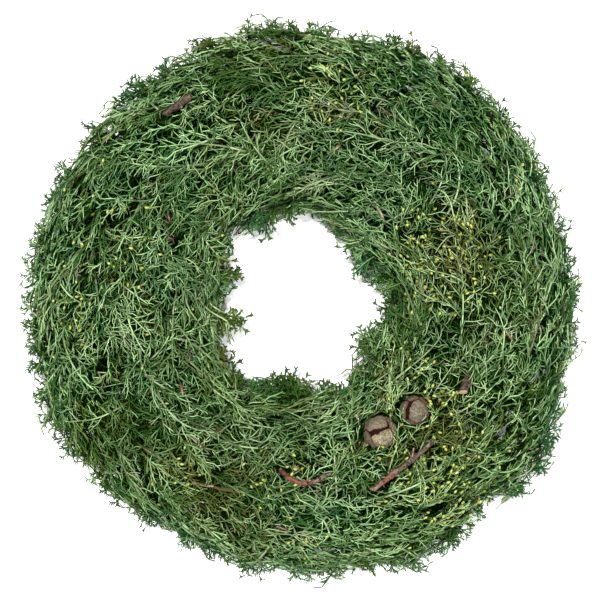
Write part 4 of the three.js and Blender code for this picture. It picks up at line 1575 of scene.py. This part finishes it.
twigStyle = {
    "sides": 16,
    "ringGap": 1.1,             # mm
    "knots": {"twig_straight": [0.3, 0.62], "twig_curved": [0.22, 0.5, 0.78], "branch_stub": [0.45],
              "twig_bark": [0.5]},
    "knot": 0.26,               # how much thicker it is there
    "knotLength": 1.6,          # mm
    "barkEdge": 0.2,            # of the radius: the bark round a cut
    "barkLine": 0.08,           # then a line, and a ring of wood, again of the radius
    "woodRing": 0.35,
    "slants": (0.5, -0.35),     # how oblique the cuts are at the root and at the tip
    "coarse": (0.0035, 0.0007),
    "fine": (0.0011, 0.0003),
    "stub": [(0, 1.5, 1.4), (0.25, 1.05, 1), (0.7, 0.9, 0.95), (1, 0.7, 0.7)],
    "stubLean": 0.9,            # how far along the twig it leans
    # broken side twigs: how far along, degrees round, length and radius in mm
    "stubs": {
        "twig_straight": [(0.3, 40, 7, 0.9), (0.62, 200, 9, 0.8), (0.8, 80, 6, 0.7)],
        "twig_curved": [(0.22, 60, 5, 0.7), (0.5, 250, 6, 0.7), (0.78, 100, 5, 0.6)],
        "branch_stub": [(0.45, 10, 5, 1.1)],
        "twig_bark": [(0.5, 330, 5, 0.9)],
    },
}


def modelTwig(twig):
    spots = smoothCourse(twig["course"], 16)
    length = sum((b - a).length for a, b in zip(spots, spots[1:]))
    count = max(8, round(length / twigStyle["ringGap"]))
    rings = []
    for i in range(count + 1):
        t = i / count
        knot = sum(math.exp(-(((t - at) * length / twigStyle["knotLength"]) ** 2))
                   for at in twigStyle["knots"][twig["name"]])
        width = mix(*twig["radii"], t) * (1 + twigStyle["knot"] * knot + draw(-0.04, 0.04, i, length))
        rings.append((t, width * draw(0.94, 1.05, i, 2), width * draw(0.93, 1.04, i, 3)))
    stick = modelShaft("stick", twigStyle["sides"], rings)
    bpy.ops.object.mode_set(mode="EDIT")
    bpy.ops.mesh.select_mode(type="FACE")
    bpy.ops.mesh.select_all(action="DESELECT")
    bpy.ops.object.mode_set(mode="OBJECT")
    for face in stick.data.polygons:
        face.select = len(face.vertices) > 4
    bpy.ops.object.mode_set(mode="EDIT")
    radius = min(twig["radii"])
    for thickness in (twigStyle["barkEdge"] * radius, twigStyle["barkLine"], twigStyle["woodRing"] * radius):
        bpy.ops.mesh.inset(thickness=thickness, depth=0)
    bpy.ops.mesh.poke()
    bpy.ops.object.mode_set(mode="OBJECT")
    points = pointsOf(stick)
    out = np.hypot(points[:, 0], points[:, 1])
    isRoot = points[:, 2] < 0.5
    atEnd = (points[:, 2] < 1e-4) | (points[:, 2] > 1 - 1e-4)
    widest = np.where(isRoot, out[atEnd & isRoot].max(), out[atEnd & ~isRoot].max())
    cut = (atEnd & (out < 0.84 * widest)).astype(float)
    slant = np.where(isRoot, *twigStyle["slants"]) * points[:, 0]
    grain = points * (1, 1, length)
    points = grain.copy()
    points[:, 2] += np.where(atEnd, slant, 0)
    setPoints(stick, points * mm)
    setValues(stick, "cut", cut)
    setValues(stick, "grain", grain)
    roughen(stick, *twigStyle["coarse"])
    roughen(stick, *twigStyle["fine"])
    parts = [stick]
    for at, around, reach, radius in twigStyle["stubs"][twig["name"]]:
        stub = modelShaft("stub", 8, twigStyle["stub"])
        root = pointsOf(stub)
        way = math.radians(around)
        aim = Vector((math.cos(way), math.sin(way), twigStyle["stubLean"])).normalized()
        turned = Vector((0, 0, 1)).rotation_difference(aim)
        placed = [turned @ Vector(point) for point in root * (radius, radius, reach)]
        placed = np.array(placed) + (0, 0, at * length)
        setPoints(stub, placed * mm)
        setValues(stub, "cut", (root[:, 2] > 0.99).astype(float) * 0.6)
        setValues(stub, "grain", root * (1, 1, reach))
        parts.append(stub)
    piece = joinAll(parts, "bark_" + twig["name"])
    bendAlong(piece, twig["course"])
    selectOnly(piece)
    bpy.ops.object.shade_smooth_by_angle(angle=math.radians(45))
    return piece


# Along in millimetres from a twig's root: red-brown from redFrom to redTo, with paler bark up to pale.
def makeBarkMaterial(name, redFrom, redTo, pale, light, weathered):
    material, tree, shader = newMaterial(name, **{"Roughness": 0.75, "Specular IOR Level": 0.15})
    colors = {"red": (0.23, 0.066, 0.038), "brown": (0.12, 0.072, 0.046), "gray": (0.25, 0.19, 0.14),
              "dark": (0.02, 0.011, 0.008)}
    colors = {key: tuple(light * part for part in value) for key, value in colors.items()}
    colors |= {"wood": (0.52, 0.4, 0.27), "ring": (0.32, 0.19, 0.1), "pale": (0.34, 0.22, 0.16)}
    grain = readAttribute(tree, "grain").outputs["Vector"]
    along = addNode(tree, "ShaderNodeSeparateXYZ", {0: grain}).outputs["Z"]
    cut = readAttribute(tree, "cut").outputs["Fac"]
    fiber = placeGroup(tree, fibres, Scale=0.9, Stretch=0.25)
    broad = placeGroup(tree, patches, Scale=240.0, Detail=4.0, Low=0.46, High=0.56)
    fine = placeGroup(tree, patches, Scale=700.0, Detail=3.0, Low=0.48, High=0.62)
    blotch = placeGroup(tree, patches, Scale=330.0, Detail=3.0, Low=0.5, High=0.58)
    inRed = doMath(tree, "MULTIPLY", remap(tree, along, redFrom - 3, redFrom + 3),
                   remap(tree, along, redTo - 4, redTo + 4, 1.0, 0.0))
    plain = mixColors(tree, broad.outputs["Mask"], colors["brown"], colors["gray"])
    color = mixColors(tree, inRed, plain, colors["red"])
    if pale:
        color = stain(tree, color, colors["pale"], remap(tree, along, pale - 3, pale + 3, 1.0, 0.0), 0.75)
    color = stain(tree, color, colors["dark"], blotch.outputs["Mask"], 0.85)
    color = stain(tree, color, colors["dark"], fiber.outputs["Mask"], 0.75)
    color = stain(tree, color, colors["gray"], fine.outputs["Mask"], weathered)
    rings = addNode(tree, "ShaderNodeTexNoise", {"Vector": grain, "Scale": 1.6, "Detail": 2.0})
    wood = mixColors(tree, rings.outputs[0], colors["wood"], colors["ring"])
    link(tree, mixColors(tree, cut, color, wood), shader.inputs["Base Color"])
    addBump(tree, shader, fiber.outputs["Height"], 0.5, 0.9)
    return material


barks = {
    "twig_straight": makeBarkMaterial("straightTwigBark", 7, 19, 7, 0.85, 0.3),
    "twig_curved": makeBarkMaterial("redTwigBark", 0, 30, 0, 1.0, 0.25),
    "branch_stub": makeBarkMaterial("stubBark", -9, -8, 0, 0.6, 0.2),
    "twig_bark": makeBarkMaterial("grayTwigBark", -9, -8, 0, 0.55, 0.3),
}
for twig in twigs:
    finishPiece(modelTwig(twig), twig["name"], barks[twig["name"]])


# The straw ring: a pressed roll under a layer of stalks laid round it

strawStyle = {
    "segments": 360,
    "around": 28,
    "coarse": (0.009, 0.0016),
    "flat": 0.5,                # mm, how high the roll's underside is
    "groove": 2.2,              # mm deep, where the wire passes under
    "grooveReach": (1.3, 1.6),  # mm to its sides, for the roll and for the stalks
    "overGroove": 0.4,          # mm that the stalks stay clear of its depth
    "lowest": 0.3,              # mm, how high a stalk's underside and its middle are
    "lowestCourse": 1.0,
    "stalk": [(0, 0.95, 0.6), (0.25, 1, 0.62), (0.5, 1.08, 0.66), (0.75, 1, 0.6), (1, 0.92, 0.55)],
    "stalks": 900,
    "stalkLength": (38, 85),
    "stalkRadius": (0.7, 1.3),
    "sunk": (0.1, 0.9),         # mm, how deep they lie
    "drift": 0.12,              # radians that they run up or down
    "grain": (60, 900),         # mm of grain along a stalk, and from one stalk to the next
    "rollTone": 0.3,
    "tones": [(0.0, (0.3, 0.2, 0.075)), (0.35, (0.46, 0.33, 0.13)), (0.7, (0.58, 0.44, 0.2)),
              (1.0, (0.44, 0.36, 0.17))],
}


# Where a turn of the wire passes under the straw.
def wireUnder(bunch):
    pastStems, pastThat = foliage["wireShift"]
    return pitch * (bunch + foliage["helixShift"] * len(foliage["lanes"]) + pastStems + pastThat)


# How far points are from the turns of the wire under the straw, in mm round the ring.
def awayFromWire(angle):
    return np.min([np.abs((angle - wireUnder(bunch) + math.pi) % turn - math.pi)
                   for bunch in range(foliage["bunches"])], axis=0) * ring["radius"]


def modelStrawRing():
    bpy.ops.mesh.primitive_torus_add(
        major_segments=strawStyle["segments"], minor_segments=strawStyle["around"],
        major_radius=ring["radius"] * mm, minor_radius=(ring["straw"] - 1) * mm)
    roll = bpy.context.object
    roughen(roll, *strawStyle["coarse"])
    points = pointsOf(roll) / mm
    points[:, 2] += ring["height"]
    angle = np.arctan2(points[:, 1], points[:, 0]) % turn
    points[:, 2] = np.maximum(points[:, 2], strawStyle["flat"])
    grooved = (awayFromWire(angle) < strawStyle["grooveReach"][0]) & (points[:, 2] < strawStyle["groove"])
    points[grooved, 2] = strawStyle["groove"]
    setPoints(roll, points * mm)
    setValues(roll, "stalkTone", np.full(len(points), strawStyle["rollTone"]))
    out = np.hypot(points[:, 0], points[:, 1]) - ring["radius"]
    around = np.arctan2(points[:, 2] - ring["height"], out) * ring["straw"]
    setValues(roll, "grain", np.stack([around, np.zeros(len(points)), angle * ring["radius"]], axis=1))
    selectOnly(roll)
    bpy.ops.object.shade_smooth()
    return roll


def modelStalks():
    shaft = readShaft(modelShaft("strawStalk", 5, strawStyle["stalk"]))
    rng = random.Random(5)
    paths, radii, ups, tones = [], [], [], []
    for index in range(strawStyle["stalks"]):
        angle = rng.uniform(0, turn)
        section = rng.uniform(0, turn)
        length = rng.uniform(*strawStyle["stalkLength"])
        drift = rng.gauss(0, strawStyle["drift"])
        path = []
        for i in range(4):
            t = i / 3
            reach = ring["straw"] - rng.uniform(*strawStyle["sunk"])
            x, y, z = pointAt((angle + t * length / ring["radius"], section + drift * t, reach))
            path.append((x, y, max(z, strawStyle["lowestCourse"])))
        wide = rng.uniform(*strawStyle["stalkRadius"])
        paths.append(path)
        radii.append((wide, wide * 0.9))
        ups.append(outward((angle + length / 2 / ring["radius"], section, 0)))
        tones.append(rng.random())
    points = bendCopies(shaft, np.array(paths), np.array(radii), np.array(ups))
    angle = np.arctan2(points[..., 1], points[..., 0]) % turn
    top = strawStyle["groove"] + strawStyle["overGroove"]
    low = (awayFromWire(angle) < strawStyle["grooveReach"][1]) & (points[..., 2] < top)
    points[..., 2] = np.maximum(np.where(low, top, points[..., 2]), strawStyle["lowest"])
    corners = shaft["corners"]
    size, count = len(corners), len(paths)
    faces = [[int(i) + copy * size for i in shaft["ids"][start:start + span]]
             for copy in range(count) for start, span in zip(shaft["starts"], shaft["spans"])]
    mesh = bpy.data.meshes.new("stalks")
    mesh.from_pydata((points.reshape(-1, 3) * mm).tolist(), [], faces)
    stalks = bpy.data.objects.new("stalks", mesh)
    bpy.context.scene.collection.objects.link(stalks)
    setValues(stalks, "stalkTone", np.repeat(tones, size))
    grainLength, grainShift = strawStyle["grain"]
    along = np.tile(corners[:, 2] * grainLength, count) + np.repeat(np.array(tones) * grainShift, size)
    grain = [np.tile(corners[:, 0], count), np.tile(corners[:, 1], count), along]
    setValues(stalks, "grain", np.stack(grain, axis=1))
    selectOnly(stalks)
    bpy.ops.object.shade_smooth_by_angle(angle=math.radians(60))
    return stalks


def makeStrawMaterial():
    material, tree, shader = newMaterial("bundledStraw", Roughness=0.62)
    tone = readAttribute(tree, "stalkTone")
    fiber = placeGroup(tree, fibres, Scale=1.8, Stretch=0.05)
    broad = placeGroup(tree, patches, Scale=90.0, Detail=3.0, Low=0.4, High=0.65)
    color = colorRamp(tree, tone.outputs["Fac"], strawStyle["tones"])
    color = stain(tree, color, (0.2, 0.12, 0.04), fiber.outputs["Mask"], 0.45)
    color = stain(tree, color, (0.3, 0.2, 0.08), broad.outputs["Mask"], 0.3)
    link(tree, color, shader.inputs["Base Color"])
    addBump(tree, shader, fiber.outputs["Height"], 0.4, 0.8)
    return material


straw = joinAll([modelStrawRing(), modelStalks()], "straw_roll")
finishPiece(straw, "straw_ring", makeStrawMaterial())


# The binding wire: one length, over the stems and round under the straw ten times

wireStyle = {
    "radius": 0.8,
    "overStems": 32.6,          # mm from the middle of the straw's section
    "onStraw": 26,
    "onStrawBelow": 42,         # degrees below that middle, where it comes down on the straw
    "slant": 0.03,              # radians from one side of the straw to the other, halved
    "flatHeight": 1.1,          # mm, under the straw
    "turnWidth": 13,
    "smoothing": 7,
}


def wirePoints():
    points = []
    for bunch in range(foliage["bunches"]):
        for lane in range(len(foliage["lanes"])):
            angle = pitch * (bunch + foliage["helixShift"] * lane + foliage["wireShift"][0])
            section = inLane(lane, angle, 0, 0)[1]
            points.append(pointAt((angle, section, wireStyle["overStems"])))
        under, slant = wireUnder(bunch), wireStyle["slant"]
        below = math.radians(wireStyle["onStrawBelow"])
        points.append(pointAt((under - slant, math.pi + below, wireStyle["onStraw"])))
        for out in (-wireStyle["turnWidth"], wireStyle["turnWidth"]):
            radius = ring["radius"] + out
            points.append((radius * math.cos(under), radius * math.sin(under), wireStyle["flatHeight"]))
        points.append(pointAt((under + slant, -below, wireStyle["onStraw"])))
    return points[:-1]


def modelWire():
    spots = smoothCourse(wirePoints(), wireStyle["smoothing"])
    deselectAll()
    bpy.ops.curve.primitive_nurbs_path_add(location=(0, 0, 0))
    wire = bpy.context.object
    data = wire.data
    data.splines.clear()
    line = data.splines.new("POLY")
    line.points.add(len(spots) - 1)
    lowest = wireStyle["radius"] + 0.1
    for point, (x, y, z) in zip(line.points, spots):
        point.co = (x * mm, y * mm, max(z, lowest) * mm, 1)
    data.bevel_depth = wireStyle["radius"] * mm
    data.bevel_resolution = 2
    data.use_fill_caps = True
    selectOnly(wire)
    bpy.ops.object.convert(target="MESH")
    wire = bpy.context.object
    wire.name = "wound_wire"
    bpy.ops.object.shade_smooth_by_angle(angle=math.radians(50))
    return wire


def makeWireMaterial():
    material, tree, shader = newMaterial("greenLacqueredWire")
    broad = placeGroup(tree, patches, Scale=120.0, Detail=4.0, Low=0.4, High=0.62)
    fine = placeGroup(tree, patches, Scale=2200.0, Detail=2.0, Low=0.6, High=0.75)
    color = mixColors(tree, broad.outputs["Mask"], (0.03, 0.075, 0.03), (0.05, 0.1, 0.045))
    color = stain(tree, color, (0.2, 0.2, 0.19), fine.outputs["Mask"], 0.5)
    link(tree, color, shader.inputs["Base Color"])
    link(tree, remap(tree, broad.outputs["Mask"], 0, 1, 0.3, 0.48), shader.inputs["Roughness"])
    addBump(tree, shader, broad.outputs["Height"], 0.08, 0.6)
    return material


finishPiece(modelWire(), "binding_wire", makeWireMaterial())


# The stage: a plain pale floor, two soft lights and the camera over the face

studio = {
    "floorSize": 60,
    "floorColor": (0.86, 0.86, 0.85),
    "worldStrength": 0.27,
    "backdrop": 1.0,
    "key": {"toward": (-0.2, 0.3, 1.6), "angle": 7, "strength": 5.2},
    "fill": {"toward": (0.34, -0.26, 1.5), "angle": 16, "strength": 2.3},
    "pixels": 600,
    "mmPerPixel": 0.755,
    "cameraDistance": 1.5,
    "midHeight": 0.06,
    "shift": (-1.5, 1.5),       # mm, the picture's middle from the wreath's
}

deselectAll()
bpy.ops.mesh.primitive_plane_add(size=studio["floorSize"], location=(0, 0, 0))
floor = bpy.context.object
floor.name = "floor"
floorMaterial = newMaterial("paleFloor", **{"Roughness": 0.7, "Base Color": (*studio["floorColor"], 1)})[0]
floor.data.materials.append(floorMaterial)

world = bpy.data.worlds.new("softRoom")
bpy.context.scene.world = world
world.use_nodes = True
room = world.node_tree
background = room.nodes["Background"]
background.inputs["Color"].default_value = (1, 1, 1, 1)
rays = addNode(room, "ShaderNodeLightPath")
seen = remap(room, rays.outputs["Is Camera Ray"], 0, 1, studio["worldStrength"], studio["backdrop"])
link(room, seen, background.inputs["Strength"])


# A broad soft lamp far away, so that the whole floor is as light as under the wreath.
def addLight(name, toward, angle, strength):
    light = bpy.data.lights.new(name, "SUN")
    light.angle = math.radians(angle)
    light.energy = strength
    lamp = bpy.data.objects.new(name, light)
    lamp.location = Vector(toward)
    lamp.rotation_euler = (-Vector(toward)).to_track_quat("-Z", "Y").to_euler()
    bpy.context.scene.collection.objects.link(lamp)


addLight("keyLight", **studio["key"])
addLight("fillLight", **studio["fill"])

# At the wreath's middle height the picture is as wide as the photograph.
camera = bpy.data.cameras.new("camera")
camera.sensor_width = 36
width = studio["pixels"] * studio["mmPerPixel"] * mm
camera.lens = camera.sensor_width * studio["cameraDistance"] / width
cameraObject = bpy.data.objects.new("camera", camera)
cameraObject.location = (studio["shift"][0] * mm, studio["shift"][1] * mm,
                         studio["midHeight"] + studio["cameraDistance"])
bpy.context.scene.collection.objects.link(cameraObject)
bpy.context.scene.camera = cameraObject
bpy.context.scene.view_settings.view_transform = "Standard"
bpy.context.scene.view_settings.look = "None"
print("stage set")
